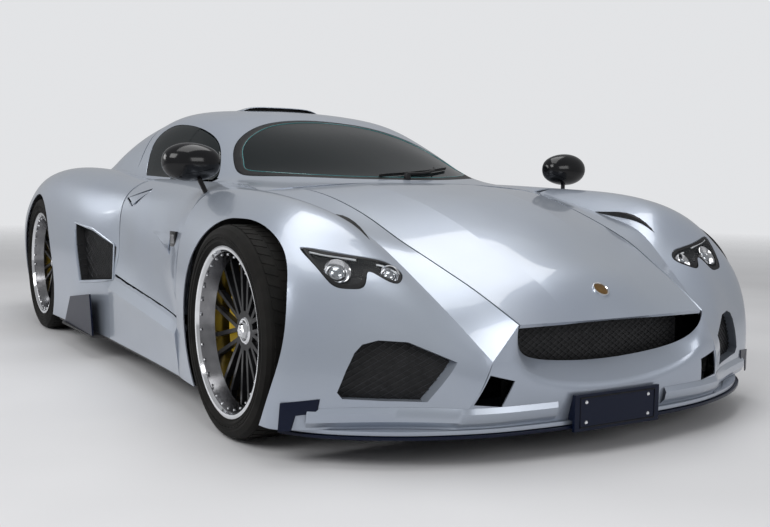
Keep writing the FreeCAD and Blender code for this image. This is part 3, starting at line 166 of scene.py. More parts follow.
def surface(name, low, high, rough, metal=0, scale=30, bump=0, bump_scale=None, **extra):
    """Material whose colour wanders between two tones, with roughness and relief of its own."""
    made, tree, shader = new_material(name, Metallic=metal, **extra)
    polished, dull = (rough * 0.85,) * 3, (min(1, rough * 1.15),) * 3
    set_values(shader, Base_Color=ramp(tree, noise(tree, scale), (0.3, low), (0.7, high)),
               Roughness=ramp(tree, noise(tree, scale * 0.6, 4), (0.25, polished), (0.8, dull)))
    if bump:
        relief = noise(tree, bump_scale or scale * 8, 3)
        node = add_node(tree, "ShaderNodeBump", Height=relief, Strength=bump, Distance=0.001)
        set_values(shader, Normal=node.outputs[0])
    return made


def paint_material():
    """Silver-blue pearl paint with faint flakes under a clear coat."""
    made, tree, shader = new_material("silver_pearl_paint", Metallic=0.55, Coat_Weight=0.7,
                                      Coat_Roughness=0.05)
    flakes = add_node(tree, "ShaderNodeTexVoronoi", Vector=coordinates(tree), Scale=1600)
    tone = ramp(tree, flakes.outputs["Color"], (0, (0.355, 0.395, 0.455)), (1, (0.385, 0.425, 0.485)))
    cloud = ramp(tree, noise(tree, 2.5, 3), (0.3, (0.95, 0.96, 1)), (0.7, (1, 1, 1)))
    set_values(shader, Base_Color=multiplied(tree, tone, cloud, 1),
               Roughness=ramp(tree, noise(tree, 6), (0.3, (0.33,) * 3), (0.7, (0.37,) * 3)))
    return made


def clear_material(name, tint, alpha):
    """Glass or clear plastic: a tinted, glossy skin that lets part of the light through."""
    made, tree, shader = new_material(name, Roughness=0.03, Alpha=alpha, Specular_IOR_Level=0.22)
    paler = tuple(level * 1.15 for level in tint)
    set_values(shader, Base_Color=ramp(tree, noise(tree, 3), (0.3, tint), (0.7, paler)))
    return made


def carbon_material():
    """Dark blue glossy weave."""
    made, tree, shader = new_material("blue_carbon_weave", Roughness=0.32, Specular_IOR_Level=0.15,
                                      Coat_Weight=0.06, Coat_Roughness=0.06)
    place = coordinates(tree)
    bands = add_node(tree, "ShaderNodeTexWave", Vector=place, Scale=110, bands_direction="DIAGONAL")
    checks = add_node(tree, "ShaderNodeTexChecker", Vector=place, Scale=260)
    weave = multiplied(tree, bands.outputs["Color"], checks.outputs["Color"], 0.5)
    tone = ramp(tree, weave, (0.1, (0.002, 0.004, 0.014)), (0.9, (0.006, 0.011, 0.032)))
    set_values(shader, Base_Color=tone)
    return made


# Shapes, each a list of points and a list of faces

def merged(parts):
    points, faces = [], []
    for more_points, more_faces in parts:
        start = len(points)
        points += [Vector(point) for point in more_points]
        faces += [tuple(index + start for index in face) for face in more_faces]
    return points, faces


def whole(shape):
    """One shape, joined from several where a list is given."""
    return shape if isinstance(shape, tuple) else merged(shape)


def moved(shape, matrix):
    points, faces = whole(shape)
    return [matrix @ Vector(point) for point in points], faces


def at(place):
    return Matrix.Translation(place)


def turned(degrees, axis):
    return Matrix.Rotation(math.radians(degrees), 4, axis)


def aimed(direction):
    """Turn that brings the Y axis, about which lathes are made, to a direction."""
    return Vector((0, 1, 0)).rotation_difference(direction).to_matrix().to_4x4()


def round_copies(shape, count, places, first=0):
    """Copies of a shape spread evenly round the Y axis, at places that take turns."""
    return [moved(shape, Matrix.Rotation(math.tau * (step + first) / count, 4, "Y")
                  @ at(places[step % len(places)])) for step in range(count)]


def grid(rows, round_rows=False, round_columns=False):
    """Faces over rows of points, closed on themselves where asked."""
    points = [point for row in rows for point in row]
    across = len(rows[0])
    faces = []
    for i in range(len(rows) - (0 if round_rows else 1)):
        for j in range(across - (0 if round_columns else 1)):
            a, b = i * across, (i + 1) % len(rows) * across
            k = (j + 1) % across
            faces.append((a + j, a + k, b + k, b + j))
    return points, faces


def lathe(profile, steps, closed=False):
    """Profile of (radius, place along Y) turned about the Y axis."""
    rows = []
    for i in range(steps):
        angle = math.tau * i / steps
        rows.append([(math.cos(angle) * r, y, math.sin(angle) * r) for r, y in profile])
    return grid(rows, True, closed)


def tube(path, radius, sides=8, closed=False):
    """Round bar along a path; radius is one number or one for each point."""
    path = [Vector(point) for point in path]
    radii = radius if isinstance(radius, list) else [radius] * len(path)
    rows, up = [], None
    for i, point in enumerate(path):
        after = path[(i + 1) % len(path)] if closed or i < len(path) - 1 else point
        before = path[i - 1] if closed or i else point
        ahead = (after - before).normalized()
        up = up or ahead.orthogonal()
        up = (up - ahead * up.dot(ahead)).normalized()
        side = ahead.cross(up)
        angles = [math.tau * k / sides for k in range(sides)]
        rows.append([point + (up * math.cos(angle) + side * math.sin(angle)) * radii[i] for angle in angles])
    points, faces = grid(rows, closed, True)
    if not closed:
        last = len(points) - sides
        faces += [tuple(range(sides - 1, -1, -1)), tuple(range(last, last + sides))]
    return points, faces


def taken(mesh):
    """Points and faces of a bmesh, which is then freed."""
    mesh.verts.index_update()
    points = [vert.co.copy() for vert in mesh.verts]
    faces = [tuple(vert.index for vert in face.verts) for face in mesh.faces]
    mesh.free()
    return points, faces


def block(length, width, height, round_edge=0, steps=2):
    """Box about its middle, with its edges rounded where asked."""
    mesh = bmesh.new()
    bmesh.ops.create_cube(mesh, size=1)
    bmesh.ops.scale(mesh, vec=(length, width, height), verts=mesh.verts)
    if round_edge:
        bmesh.ops.bevel(mesh, geom=mesh.edges[:], offset=round_edge, segments=steps, affect="EDGES",
                        profile=0.6)
    return taken(mesh)


def lens(radius):
    """Ball squeezed along Y."""
    mesh = bmesh.new()
    bmesh.ops.create_icosphere(mesh, subdivisions=3, radius=radius)
    bmesh.ops.scale(mesh, vec=(1, 0.45, 1), verts=mesh.verts)
    return taken(mesh)


def plate(outline, depth):
    """Flat outline of points thickened along a vector."""
    count = len(outline)
    points = [Vector(point) for point in outline] + [Vector(point) + Vector(depth) for point in outline]
    faces = [tuple(range(count - 1, -1, -1)), tuple(range(count, count * 2))]
    return points, faces + [(i, (i + 1) % count, (i + 1) % count + count, i + count) for i in range(count)]


def edge_walls(top, low):
    """The two side walls between the first and the last columns of two layers."""
    return merged([grid([[row[column] for row in top], [row[column] for row in low]]) for column in (0, -1)])


def slab(rows, depth):
    """Rows of points and a second layer, closed round the edge; depth is a vector or a function."""
    deeper = depth if callable(depth) else lambda point: Vector(depth)
    top = [[Vector(point) for point in row] for row in rows]
    low = [[point + deeper(point) for point in row] for row in top]
    return merged([grid(top + low[::-1], True), edge_walls(top, low)])


def both_sides(shape):
    """The shape and its mirror image over the middle of the car."""
    points, faces = whole(shape)
    return merged([(points, faces), ([Vector((p[0], -p[1], p[2])) for p in points], faces)])


def add_piece(name, shape, material, body="body", smooth=True, stands_for=()):
    """Object of the shape that moves with a CAD body and takes the place of CAD nodes where asked."""
    mesh = bpy.data.meshes.new(name)
    points, faces = whole(shape)
    mesh.from_pydata([tuple(point) for point in points], [], faces)
    cleaner = bmesh.new()
    cleaner.from_mesh(mesh)
    bmesh.ops.remove_doubles(cleaner, verts=cleaner.verts, dist=1e-6)
    bmesh.ops.recalc_face_normals(cleaner, faces=cleaner.faces)
    cleaner.to_mesh(mesh)
    cleaner.free()
    mesh.materials.append(material)
    if smooth:
        mesh.shade_smooth()
        mesh.set_sharp_from_angle(angle=math.radians(35))
    made = add_object(name, mesh)
    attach(made, body)
    if stands_for:
        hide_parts(*stands_for)
    return made


# Places found on the CAD nodes

def bvh(*names):
    """Tree for rays at CAD nodes."""
    parts = []
    for name in names:
        mesh = frame["nodes"][name].data
        parts.append(([vert.co for vert in mesh.vertices], [face.vertices for face in mesh.polygons]))
    return BVHTree.FromPolygons(*merged(parts))


def facing(tree, start, aim):
    """Where a ray first meets the shapes, and their normal there turned against the ray."""
    hit, normal = tree.ray_cast(Vector(start), Vector(aim))[:2]
    return hit, (normal if normal.dot(Vector(aim)) < 0 else -normal) if hit else None


def landing(tree, start, aim, lift=0):
    """Where a ray meets the shapes, lifted off them towards its start; None where it misses."""
    hit, normal = facing(tree, start, aim)
    return hit + normal * lift if hit else None


def drop(tree, x, y, lift=0):
    return landing(tree, (x, y, 3), (0, 0, -1), lift)


def from_side(tree, x, z, lift=0, side=1):
    return landing(tree, (x, side * 3, z), (0, -side, 0), lift)


def from_front(tree, y, z, lift=0, ahead=1):
    return landing(tree, (ahead * 4, y, z), (-ahead, 0, 0), lift)


def smooth_loop(points, steps=5, closed=True):
    """Points with more points between them, on a curve through all."""
    made = []
    count = len(points)
    for i in range(count if closed else count - 1):
        four = [points[(i + k) % count if closed else min(max(i + k, 0), count - 1)] for k in (-1, 0, 1, 2)]
        for step in range(steps):
            t = step / steps
            made.append(tuple(
                0.5 * (2 * q + (r - p) * t + (2 * p - 5 * q + 4 * r - s) * t * t
                       + (3 * q - p - 3 * r + s) * t ** 3) for p, q, r, s in zip(*four)))
    return made if closed else made + [points[-1]]


def inward(points, amount):
    """Closed flat outline moved towards its inside."""
    turn = 1 if sum(a[0] * b[1] - b[0] * a[1] for a, b in zip(points, points[1:] + points[:1])) > 0 else -1
    made = []
    for before, point, after in zip(points[-1:] + points[:-1], points, points[1:] + points[:1]):
        dx, dy = after[0] - before[0], after[1] - before[1]
        length = math.hypot(dx, dy) or 1
        made.append((point[0] - dy / length * amount * turn, point[1] + dx / length * amount * turn))
    return made


def band_on(tree, outer, inner, lift):
    """Flat band between two closed outlines, lying on the shapes below."""
    rows = []
    for (ax, ay), (bx, by) in zip(outer, inner):
        low = drop(tree, ax, ay, 0.0002)
        spots = [drop(tree, ax + (bx - ax) * t, ay + (by - ay) * t, lift) for t in (0.06, 0.35, 0.65, 0.94)]
        end = drop(tree, bx, by, 0.0002)
        if low and end and all(spots):
            rows.append([low] + spots + [end])
    return grid(rows, True)


def lay(tree, points, lift, radius, closed=False):
    """Thin round line that follows the body through points, seen from above."""
    path = [drop(tree, a, b, lift) for a, b in points]
    return tube([point for point in path if point], radius, 6, closed)


def along(points):
    """Points of an outline that starts from the middle of the wheelbase."""
    return [(x + MID_WHEELBASE, y) for x, y in points]


def runs_of_wire(spots, radius, joined):
    """Wires through spots in turn, broken at each None and between spots that aren't joined."""
    wires, run = [], []
    for spot in spots + [None]:
        if spot and (not run or joined(run[-1], spot)):
            run.append(spot)
        else:
            if len(run) > 1:
                wires.append(tube(run, radius, 4))
            run = []
    return wires


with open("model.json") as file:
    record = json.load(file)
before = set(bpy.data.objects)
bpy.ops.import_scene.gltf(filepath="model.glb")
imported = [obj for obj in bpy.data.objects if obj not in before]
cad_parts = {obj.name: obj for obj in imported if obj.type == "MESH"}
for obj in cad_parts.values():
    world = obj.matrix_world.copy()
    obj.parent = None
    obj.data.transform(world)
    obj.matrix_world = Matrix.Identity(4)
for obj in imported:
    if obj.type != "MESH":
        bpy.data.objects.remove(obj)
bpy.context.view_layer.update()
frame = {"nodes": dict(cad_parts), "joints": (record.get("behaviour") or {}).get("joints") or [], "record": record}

chrome = surface("chrome", (0.72, 0.73, 0.75), (0.82, 0.83, 0.85), 0.1, 1, 20, 0.02)
gloss_black = surface("gloss_black", (0.002, 0.002, 0.003), (0.006, 0.006, 0.007), 0.14, scale=9,
                      bump=0.02, Specular_IOR_Level=0.35)
satin_black = surface("satin_black", (0.003, 0.003, 0.004), (0.008, 0.008, 0.009), 0.5, scale=22,
                      bump=0.1, Specular_IOR_Level=0.25)
# Black felt for the wheel liners, also used as painted shade: the black sheets in the roof scoop slot and behind
# the rear vent mesh stand for the shade inside those openings.
liner_and_shade_black = surface("felt_liner_and_painted_shade", (0.004, 0.004, 0.005), (0.012, 0.012, 0.012), 0.9, scale=40, bump=0.5)
spoke_grey = surface("dark_spokes", (0.008, 0.008, 0.009), (0.018, 0.018, 0.02), 0.34, 0.3, 20, 0.03,
                     Specular_IOR_Level=0.3)
stitching = surface("pale_stitching", (0.5, 0.52, 0.55), (0.62, 0.64, 0.66), 0.8, scale=200, bump=0.4)
white_lamp = surface("white_light_guide", (0.78, 0.82, 0.86), (0.9, 0.92, 0.95), 0.25)
mirror_glass = surface("mirror_glass", (0.55, 0.58, 0.62), (0.62, 0.65, 0.69), 0.05, 1, 4)
screen = surface("dark_screen", (0.006, 0.01, 0.014), (0.014, 0.02, 0.026), 0.1, scale=12, Coat_Weight=0.8)
teal_edge = surface("teal_glass_edge", (0.03, 0.16, 0.17), (0.05, 0.22, 0.23), 0.2, scale=16)
wire = surface("grille_wire", (0.02, 0.021, 0.023), (0.045, 0.046, 0.05), 0.35, 0.6, 60, 0.1)
bronze = surface("bronze_badge", (0.16, 0.09, 0.03), (0.24, 0.14, 0.05), 0.3, 0.8, 60)
bare_plate = surface("bare_plate", (0.5, 0.51, 0.52), (0.56, 0.57, 0.58), 0.4, bump=0.05)
crackle = surface("crackle_cover", (0.035, 0.036, 0.04), (0.06, 0.062, 0.066), 0.55, 0.2, 90, 0.9, 420)
leather = surface("black_leather", (0.014, 0.014, 0.015), (0.026, 0.025, 0.025), 0.5, scale=16, bump=0.6,
                  bump_scale=320)
trim = surface("soft_trim", (0.012, 0.012, 0.013), (0.026, 0.026, 0.027), 0.65, scale=16, bump=0.4,
               bump_scale=260)
paint = paint_material()
carbon = carbon_material()
looks = {  # one for each material slot of the part
    "paint": paint,
    "carbon": carbon,
    "glass": clear_material("tinted_glass", (0.002, 0.005, 0.006), 0.82),
    "lamp": clear_material("lamp_glass", (0.05, 0.055, 0.06), 0.16),
    "tail_lamp": surface("red_lens", (0.3, 0.008, 0.006), (0.42, 0.015, 0.01), 0.12, scale=60, bump=0.2,
                         bump_scale=400),
    "mesh": surface("black_mesh", (0.003, 0.003, 0.004), (0.009, 0.009, 0.01), 0.7, scale=60, bump=0.3),
    "tyre": surface("tyre_rubber", (0.005, 0.005, 0.0045), (0.011, 0.01, 0.009), 0.85, scale=14,
                    bump=0.35, bump_scale=160, Specular_IOR_Level=0.2),
    "rim": surface("polished_rim", (0.2, 0.2, 0.21), (0.28, 0.28, 0.29), 0.2, 1, 25, 0.03),
    "disc": surface("steel_disc", (0.22, 0.22, 0.23), (0.32, 0.32, 0.33), 0.34, 1, 18, 0.1),
    "caliper": surface("yellow_caliper", (0.66, 0.43, 0.02), (0.8, 0.54, 0.03), 0.3, scale=20, bump=0.1),
    "suspension": surface("satin_steel", (0.1, 0.1, 0.11), (0.18, 0.18, 0.19), 0.42, 0.9, 20, 0.15),
    "chassis": surface("chassis_black", (0.008, 0.008, 0.009), (0.02, 0.02, 0.022), 0.65, scale=12,
                       bump=0.3, bump_scale=140),
    "engine": surface("cast_engine", (0.2, 0.2, 0.21), (0.32, 0.32, 0.33), 0.5, 0.9, 16, 0.4, 220),
    "pipe": surface("brushed_pipe", (0.5, 0.48, 0.46), (0.66, 0.64, 0.61), 0.25, 1, 30, 0.1),
    "leather": leather,
    "trim": trim,
    "mirror_black": gloss_black,
}
slots = {entry["node"]: entry["material_slot"] for entry in frame["record"]["subparts"]}
for name, node in frame["nodes"].items():
    node.data.materials.clear()
    node.data.materials.append(looks[slots[name]])


# Wheels

def tread_shape(radius, width):
    """Raised blocks round the tread, in five rows that lean towards the shoulders."""
    steps, shoulder, foot, rise, lean = 56, 0.03, 0.002, 0.0016, 0.35
    faces = [(0, 1, 3, 2), (4, 6, 7, 5), (0, 4, 5, 1), (2, 3, 7, 6), (0, 2, 6, 4), (1, 5, 7, 3)]
    flat = width / 2 - shoulder
    blocks = []
    for inner, outer, sweep in ((-1, -0.62, 0.3), (-0.56, -0.2, 0.12), (-0.14, 0.14, 0),
                                (0.2, 0.56, 0.12), (0.62, 1, 0.3)):
        length = math.tau / steps * (0.74 if sweep else 0.86)
        for step in range(steps):
            points = []
            for level in (radius - foot, radius + rise):
                for place in (inner, outer):
                    for turn in (0, length):
                        angle = math.tau * step / steps + turn + abs(place) * sweep * lean
                        points.append((math.cos(angle) * level, place * flat, math.sin(angle) * level))
            blocks.append((points, faces))
    return merged(blocks)


def dress_wheel(tag, place, tyre_radius, tyre_width, side):
    """Tread, sidewall bands, rim lip, nut and bolts, valve, black spots of painted shade for the disc's drillings,
    and dark spokes of one wheel.
    """
    x, y, z = place
    put = at(place) @ Matrix.Scale(side, 4, (0, 1, 0))
    tyre, rim, disc = (bvh(kind + tag) for kind in ("tyre_", "rim_", "disc_"))

    def face(tree, radius):
        """Place of the outer face at a radius, measured outward from the wheel's middle."""
        return (landing(tree, (x + radius * 0.6, side * 2, z + radius * 0.8), (0, -side, 0)).y - y) * side

    def fit(name, shape, material, smooth=True):
        add_piece(name + tag, moved(shape, put), material, "wheel_" + tag, smooth)

    fit("tread_", tread_shape(tyre_radius, tyre_width), looks["tyre"], smooth=False)

    bands = []
    outer_band = tyre_radius - 0.036
    for middle, half, lift in ((0.281, 0.004, 0.0022), (0.293, 0.002, 0.0015), (outer_band, 0.003, 0.002)):
        crown = face(tyre, middle) + lift
        foot_in, foot_out = (face(tyre, middle + turn * half) - 0.001 for turn in (-1, 1))
        bands.append(lathe([(middle - half, foot_in), (middle - half * 0.5, crown),
                            (middle + half * 0.5, crown), (middle + half, foot_out)], 96, True))
    rib_inner, rib_outer = 0.297, tyre_radius - 0.042
    rib_middle = (rib_inner + rib_outer) / 2
    ribs = round_copies(block(rib_outer - rib_inner, 0.0022, 0.0016), 72,
                        [(rib_middle, face(tyre, rib_middle) + 0.0002, 0)])
    fit("sidewall_bands_", bands + ribs, looks["tyre"])

    lip_face = face(rim, 0.2655)
    lip = [(0.25, lip_face - 0.01), (0.2545, lip_face - 0.0005), (0.26, lip_face + 0.0012),
           (0.2665, lip_face + 0.0004), (0.269, lip_face - 0.004), (0.2665, lip_face - 0.01)]
    fit("rim_lip_", lathe(lip, 96, True), chrome)

    bolt = lathe([(0, 0.0046), (0.003, 0.0042), (0.0042, 0.002), (0.0042, -0.004)], 6)
    bolts = round_copies(bolt, 30, [(0.2395, lip_face - 0.0125, 0)], 0.5)
    hub = face(rim, 0.03)
    nut = lathe([(0, hub + 0.016), (0.02, hub + 0.016), (0.023, hub + 0.013), (0.03, hub - 0.004)], 6)
    collar = lathe([(0.03, hub - 0.002), (0.033, hub + 0.004), (0.038, hub + 0.004),
                    (0.046, hub - 0.003)], 40)
    cap = lathe([(0, hub + 0.019), (0.01, hub + 0.0185), (0.0135, hub + 0.015)], 24)
    fit("centre_nut_", [nut, collar, cap] + bolts, chrome)

    stem = [(0.243, lip_face - 0.024, 0), (0.233, lip_face - 0.013, 0), (0.228, lip_face - 0.006, 0)]
    fit("valve_", tube(stem, [0.0042, 0.0036, 0.0044], 10), satin_black)

    # Black spots on both faces of the disc: painted shade standing for its drillings, which are not cut.
    hole_shade_spots = []
    for outward, start in ((1, side * 2), (-1, y - side * 2)):
        hit = landing(disc, (x + 0.13, start, z), (0, -side * outward, 0))
        level = (hit.y - y) * side + 0.0006 * outward
        hole_shade_spot = lathe([(0, 0), (0.0036, 0), (0.0044, -0.0005 * outward)], 10)
        hole_shade_spots += round_copies(hole_shade_spot, 48, [(radius, level, 0) for radius in (0.115, 0.14, 0.165)])
    fit("disc_hole_shades_", hole_shade_spots, gloss_black)

    spoke_reach, spoke_depth = 0.232, 0.115
    rim_mesh = frame["nodes"]["rim_" + tag].data
    rim_mesh.materials.append(spoke_grey)
    for polygon in rim_mesh.polygons:
        offset = polygon.center - Vector(place)
        if math.hypot(offset.x, offset.z) < spoke_reach and offset.y * side > lip_face - spoke_depth:
            polygon.material_index = 1


joint_places = {joint["child"]: joint["pos_m"] for joint in frame["joints"]}
for tag, (radius, width) in WHEELS.items():
    dress_wheel(tag, joint_places["wheel_" + tag], radius, width, 1 if tag.endswith("l") else -1)


def wheel_liner(x, z, radius, stretch, inner, outer, tree):
    """Sheet over one wheel, out to just inside the panel, with a wall on its inner side."""
    rows = []
    for step in range(33):
        angle = math.radians(-12 + 204 * step / 32)
        px = x + stretch * (1 if math.cos(angle) > 0 else -1) + math.cos(angle) * radius
        pz = z + math.sin(angle) * radius
        skin = from_side(tree, px + math.cos(angle) * 0.008, pz + math.sin(angle) * 0.008)
        reach = min(outer, skin.y - 0.005) if skin else outer - 0.05
        rows.append([(px, inner, pz), (px, (inner + reach) / 2, pz), (px, reach, pz)])
    middle = Vector((x, 0, z))
    sheet = slab(rows, lambda point: Vector((point.x - middle.x, 0, point.z - middle.z)).normalized() * 0.003)
    return [sheet, plate([row[0] for row in rows], (0, 0.003, 0))]


liners = wheel_liner(1.439, 0.33, 0.358, 0.03, 0.602, 0.955, bvh("front_fenders"))
liners += wheel_liner(-1.129, 0.344, 0.372, 0, 0.56, 0.985, bvh("rear_quarters"))
add_piece("wheel_liners", both_sides(liners), liner_and_shade_black)


# Headlights: two lamps in a tray under the glass, and light guides along the edge

lamp_outline = smooth_loop(along([
    (1.549, .842), (1.576, .786), (1.598, .722), (1.613, .651), (1.624, .592), (1.65, .57), (1.69, .586),
    (1.712, .615), (1.692, .652), (1.664, .686), (1.69, .71), (1.687, .75), (1.664, .796), (1.612, .828)]))
lamp_tree = bvh("headlights")
inner_outline = inward(lamp_outline, 0.0025)
lamp_rim = band_on(lamp_tree, inner_outline, inward(lamp_outline, 0.011), 0.0012)
add_piece("headlight_rims", both_sides(lamp_rim), satin_black)
lamps = [(1.79, 0.768, 0.04, 0.0208), (1.823, 0.612, 0.03, 0.0152)]  # place, ring radius, lens radius
tray_rows = []
for t in (0, 0.2, 0.45, 0.7, 0.9, 1):
    row = []
    for ax, ay in inner_outline:
        cx, cy = min(lamps, key=lambda lamp: math.hypot(ax - lamp[0], ay - lamp[1]))[:2]
        px, py = ax + (cx - ax) * t, ay + (cy - ay) * t
        spot = drop(lamp_tree, px, py) or drop(lamp_tree, ax * 0.97 + cx * 0.03, ay * 0.97 + cy * 0.03)
        row.append((spot or Vector((px, py, 0.52))) + Vector((-0.01, 0, -0.016 - 0.006 * t)))
    tray_rows.append(row)
reflectors, lenses = [], []
lamp_aim = Vector((0.8, 0.18, 0.57)).normalized()
for cx, cy, ring, eye in lamps:
    put = at(drop(lamp_tree, cx, cy) - lamp_aim * 0.018) @ aimed(lamp_aim)
    bowl = [(ring * 0.62, -0.004), (ring * 0.78, 0.006), (ring * 0.96, 0.012), (ring, 0.01), (ring, -0.006)]
    inner_bowl = [(ring * 0.4, 0), (ring * 0.52, 0.004), (ring * 0.6, -0.002)]
    reflectors += [moved(lathe(bowl, 40), put), moved(lathe(inner_bowl, 32), put)]
    lenses.append(moved(lens(eye), put))
outer_guide = smooth_loop([(1.722, 0.826), (1.742, 0.786), (1.76, 0.735), (1.772, 0.7)], 6, False)
inner_guide = smooth_loop([(1.79, 0.64), (1.798, 0.6), (1.816, 0.586)], 6, False)
guides = [lay(lamp_tree, outer_guide, -0.004, 0.0032), lay(lamp_tree, inner_guide, -0.004, 0.0028)]
add_piece("headlight_trays", both_sides(grid(tray_rows, False, True)), satin_black)
add_piece("headlight_reflectors", both_sides(reflectors), chrome)
add_piece("headlight_lenses", both_sides(lenses), mirror_glass)
add_piece("headlight_guides", both_sides(guides), white_lamp)

# Windscreen border and wiper

screen_tree = bvh("windscreen")
half = along([(.765, 0), (.73, .22), (.61, .42), (.43, .563), (.3, .545), (.18, .49), (.075, .38),
              (-.01, .22), (-.045, 0)])
screen_outline = inward(smooth_loop(half + [(x, -y) for x, y in half[-2:0:-1]], 6), 0.004)
border = band_on(screen_tree, screen_outline, inward(screen_outline, 0.034), 0.0012)
add_piece("windscreen_border", border, satin_black)
add_piece("windscreen_edge", lay(screen_tree, inward(screen_outline, 0.036), 0.0006, 0.0016, True), teal_edge)
blade = smooth_loop([(0.88, -0.1), (0.845, 0.06), (0.775, 0.22), (0.69, 0.345)], 8, False)
arm = smooth_loop([(0.9, 0.02), (0.88, 0.1), (0.82, 0.19), (0.76, 0.235)], 8, False)
wiper = [lay(screen_tree, blade, 0.006, 0.0035), lay(screen_tree, blade, 0.012, 0.0028),
         lay(screen_tree, arm, 0.02, [0.008 - 0.0045 * i / 24 for i in range(25)])]
spindle = lathe([(0, 0.026), (0.01, 0.025), (0.013, 0.02), (0.014, 0)], 20)
spindle_place = drop(bvh("windscreen", "bonnet", "cabin_frame"), 0.902, 0.02)
wiper.append(moved(spindle, at(spindle_place) @ turned(90, "X")))
add_piece("wiper", wiper, satin_black)


# Wire mesh

WIRE_RADIUS, WIRE_LEAN, WIRE_LIFT = 0.0011, 33, 0.004


def lattice(tree, low, high, spacing, ahead=1, lift=WIRE_LIFT):
    """Crossed wires in front of the shapes, within a rectangle of (y, z) corners."""
    wires = []
    for angle in (math.radians(WIRE_LEAN), math.radians(-WIRE_LEAN)):
        run, across = Vector((math.cos(angle), math.sin(angle))), Vector((-math.sin(angle), math.cos(angle)))
        corners = [Vector((a, b)) for a in (low[0], high[0]) for b in (low[1], high[1])]
        first, last = (pick(corner.dot(across) for corner in corners) for pick in (min, max))
        begin, end = (pick(corner.dot(run) for corner in corners) for pick in (min, max))
        line = math.ceil(first / spacing) * spacing
        while line < last:
            spots = []
            step = begin
            while step <= end + 0.006:
                spot = across * line + run * step
                inside = low[0] <= spot.x <= high[0] and low[1] <= spot.y <= high[1]
                hit = from_front(tree, spot.x, spot.y, 0, ahead) if inside else None
                spots.append(hit + Vector((lift * ahead, 0, 0)) if hit else None)
                step += 0.009
            wires += runs_of_wire(spots, WIRE_RADIUS, lambda a, b: abs(b.x - lift * ahead - a.x) < 0.03)
            line += spacing
    return merged(wires)


def flank_lattice(tree, x_range, z_range, spacing):
    """Crossed wires outside a plate on the car's left flank."""
    wires = []
    for slope in (0.8, -0.8):
        for count in range(-40, 60):
            spots = []
            for step in range(60):
                x = x_range[0] + (x_range[1] - x_range[0]) * step / 59
                z = z_range[0] + count * spacing + slope * (x - x_range[0])
                hit = from_side(tree, x, z) if z_range[0] <= z <= z_range[1] else None
                spots.append(hit + Vector((0, WIRE_LIFT, 0)) if hit else None)
            wires += runs_of_wire(spots, WIRE_RADIUS, lambda a, b: True)
    return merged(wires)


add_piece("grille_mesh", lattice(bvh("grilles"), (-0.92, 0.1), (0.92, 0.41), 0.015), wire)
duct_wires = flank_lattice(bvh("side_ducts"), (-0.41, 0.01), (0.32, 0.59), 0.016)
add_piece("side_duct_mesh", both_sides(duct_wires), wire)

# Badge and plate holder on the nose, both bare

bonnet_tree = bvh("bonnet")
badge_x = from_front(bonnet_tree, 0, 0.478).x
nose, nose_normal = facing(bonnet_tree, (badge_x, 0, 3), (0, 0, -1))
badge_put = at(nose) @ aimed(nose_normal)
badge_ring = lathe([(0.0275, -0.002), (0.0275, 0.0035), (0.0245, 0.0045), (0.023, 0.0025)], 40)
badge_face = lathe([(0, 0.0036), (0.014, 0.0034), (0.0228, 0.0022), (0.0232, -0.001)], 40)
add_piece("bonnet_badge_ring", moved(badge_ring, badge_put), chrome, "bonnet")
add_piece("bonnet_badge_face", moved(badge_face, badge_put), bronze, "bonnet")

holder_tree = bvh("plate_holder")
screw = lathe([(0, 0.0025), (0.0035, 0.0022), (0.0058, 0), (0.0058, -0.003)], 12)
screws = [moved(screw, at(from_front(holder_tree, y, z)) @ turned(-90, "Z"))
          for y in (-0.125, 0.125) for z in (0.1, 0.16)]
add_piece("plate_screws", screws, chrome)
holder_corners = [(-0.15, 0.086), (-0.15, 0.174), (0.15, 0.174), (0.15, 0.086)]
lip_path = [from_front(holder_tree, y, z, 0.0004) for y, z in holder_corners]
add_piece("plate_lip", tube(lip_path, 0.0022, 6, True), satin_black)

# Splitter in layers, ledges over it and corner fins

splitter_edge = smooth_loop(along([
    (1.97, 0), (1.96, .25), (1.93, .45), (1.86, .645), (1.765, .8), (1.68, .89), (1.6, .94)]), 5, False)
splitter_back = 1.758


def layer(shrink, low, high):
    """Both halves of a flat layer of the splitter, drawn in from its edge."""
    front = [(x - shrink, y * (1 - shrink * 0.6)) for x, y in splitter_edge]
    outline = front + [(splitter_back, front[-1][1]), (splitter_back, 0)]
    return both_sides(plate([(x, y, low) for x, y in outline], (0, 0, high - low)))


add_piece("splitter_blade", layer(0, 0.083, 0.0905), carbon, smooth=False, stands_for=("front_splitter",))
add_piece("splitter_band", layer(0.01, 0.0935, 0.1045), paint, smooth=False)
add_piece("splitter_shadow", layer(0.016, 0.0905, 0.0935), satin_black, smooth=False)
ledge_tree = bvh("front_fenders", "front_bumper")
ledge_back = 1.72
ledge_rows = []
for j in range(60):
    y = 0.215 + 0.68 * j / 59
    spots = [from_front(ledge_tree, y, z) for z in (0.168, 0.152, 0.128, 0.112)]
    if all(spots) and min(spot.x for spot in spots) > ledge_back:
        out = Vector((1, 0.35 + 1.2 * max(0, y - 0.5), 0)).normalized()
        ledge_rows.append([spot + out * rise for spot, rise in zip(spots, (0.0005, 0.012, 0.013, 0.001))])
add_piece("nose_ledges", both_sides(grid(ledge_rows)), paint)
fin_tree = bvh("front_fenders")
fin_points = []
for x, z in ((1.816, 0.105), (1.834, 0.105), (1.84, 0.148), (1.866, 0.155), (1.869, 0.194), (1.82, 0.184)):
    reach = [from_side(fin_tree, x, height) for height in (0.112, 0.13, 0.15, 0.17, 0.19)]
    fin_points.append((x, max(spot.y for spot in reach if spot) + 0.002, z))
add_piece("corner_fins", both_sides(plate(fin_points, (0, 0.006, 0))), carbon, smooth=False)


# Doors and mirrors

def between(a, b, share):
    return a + (b - a) * share


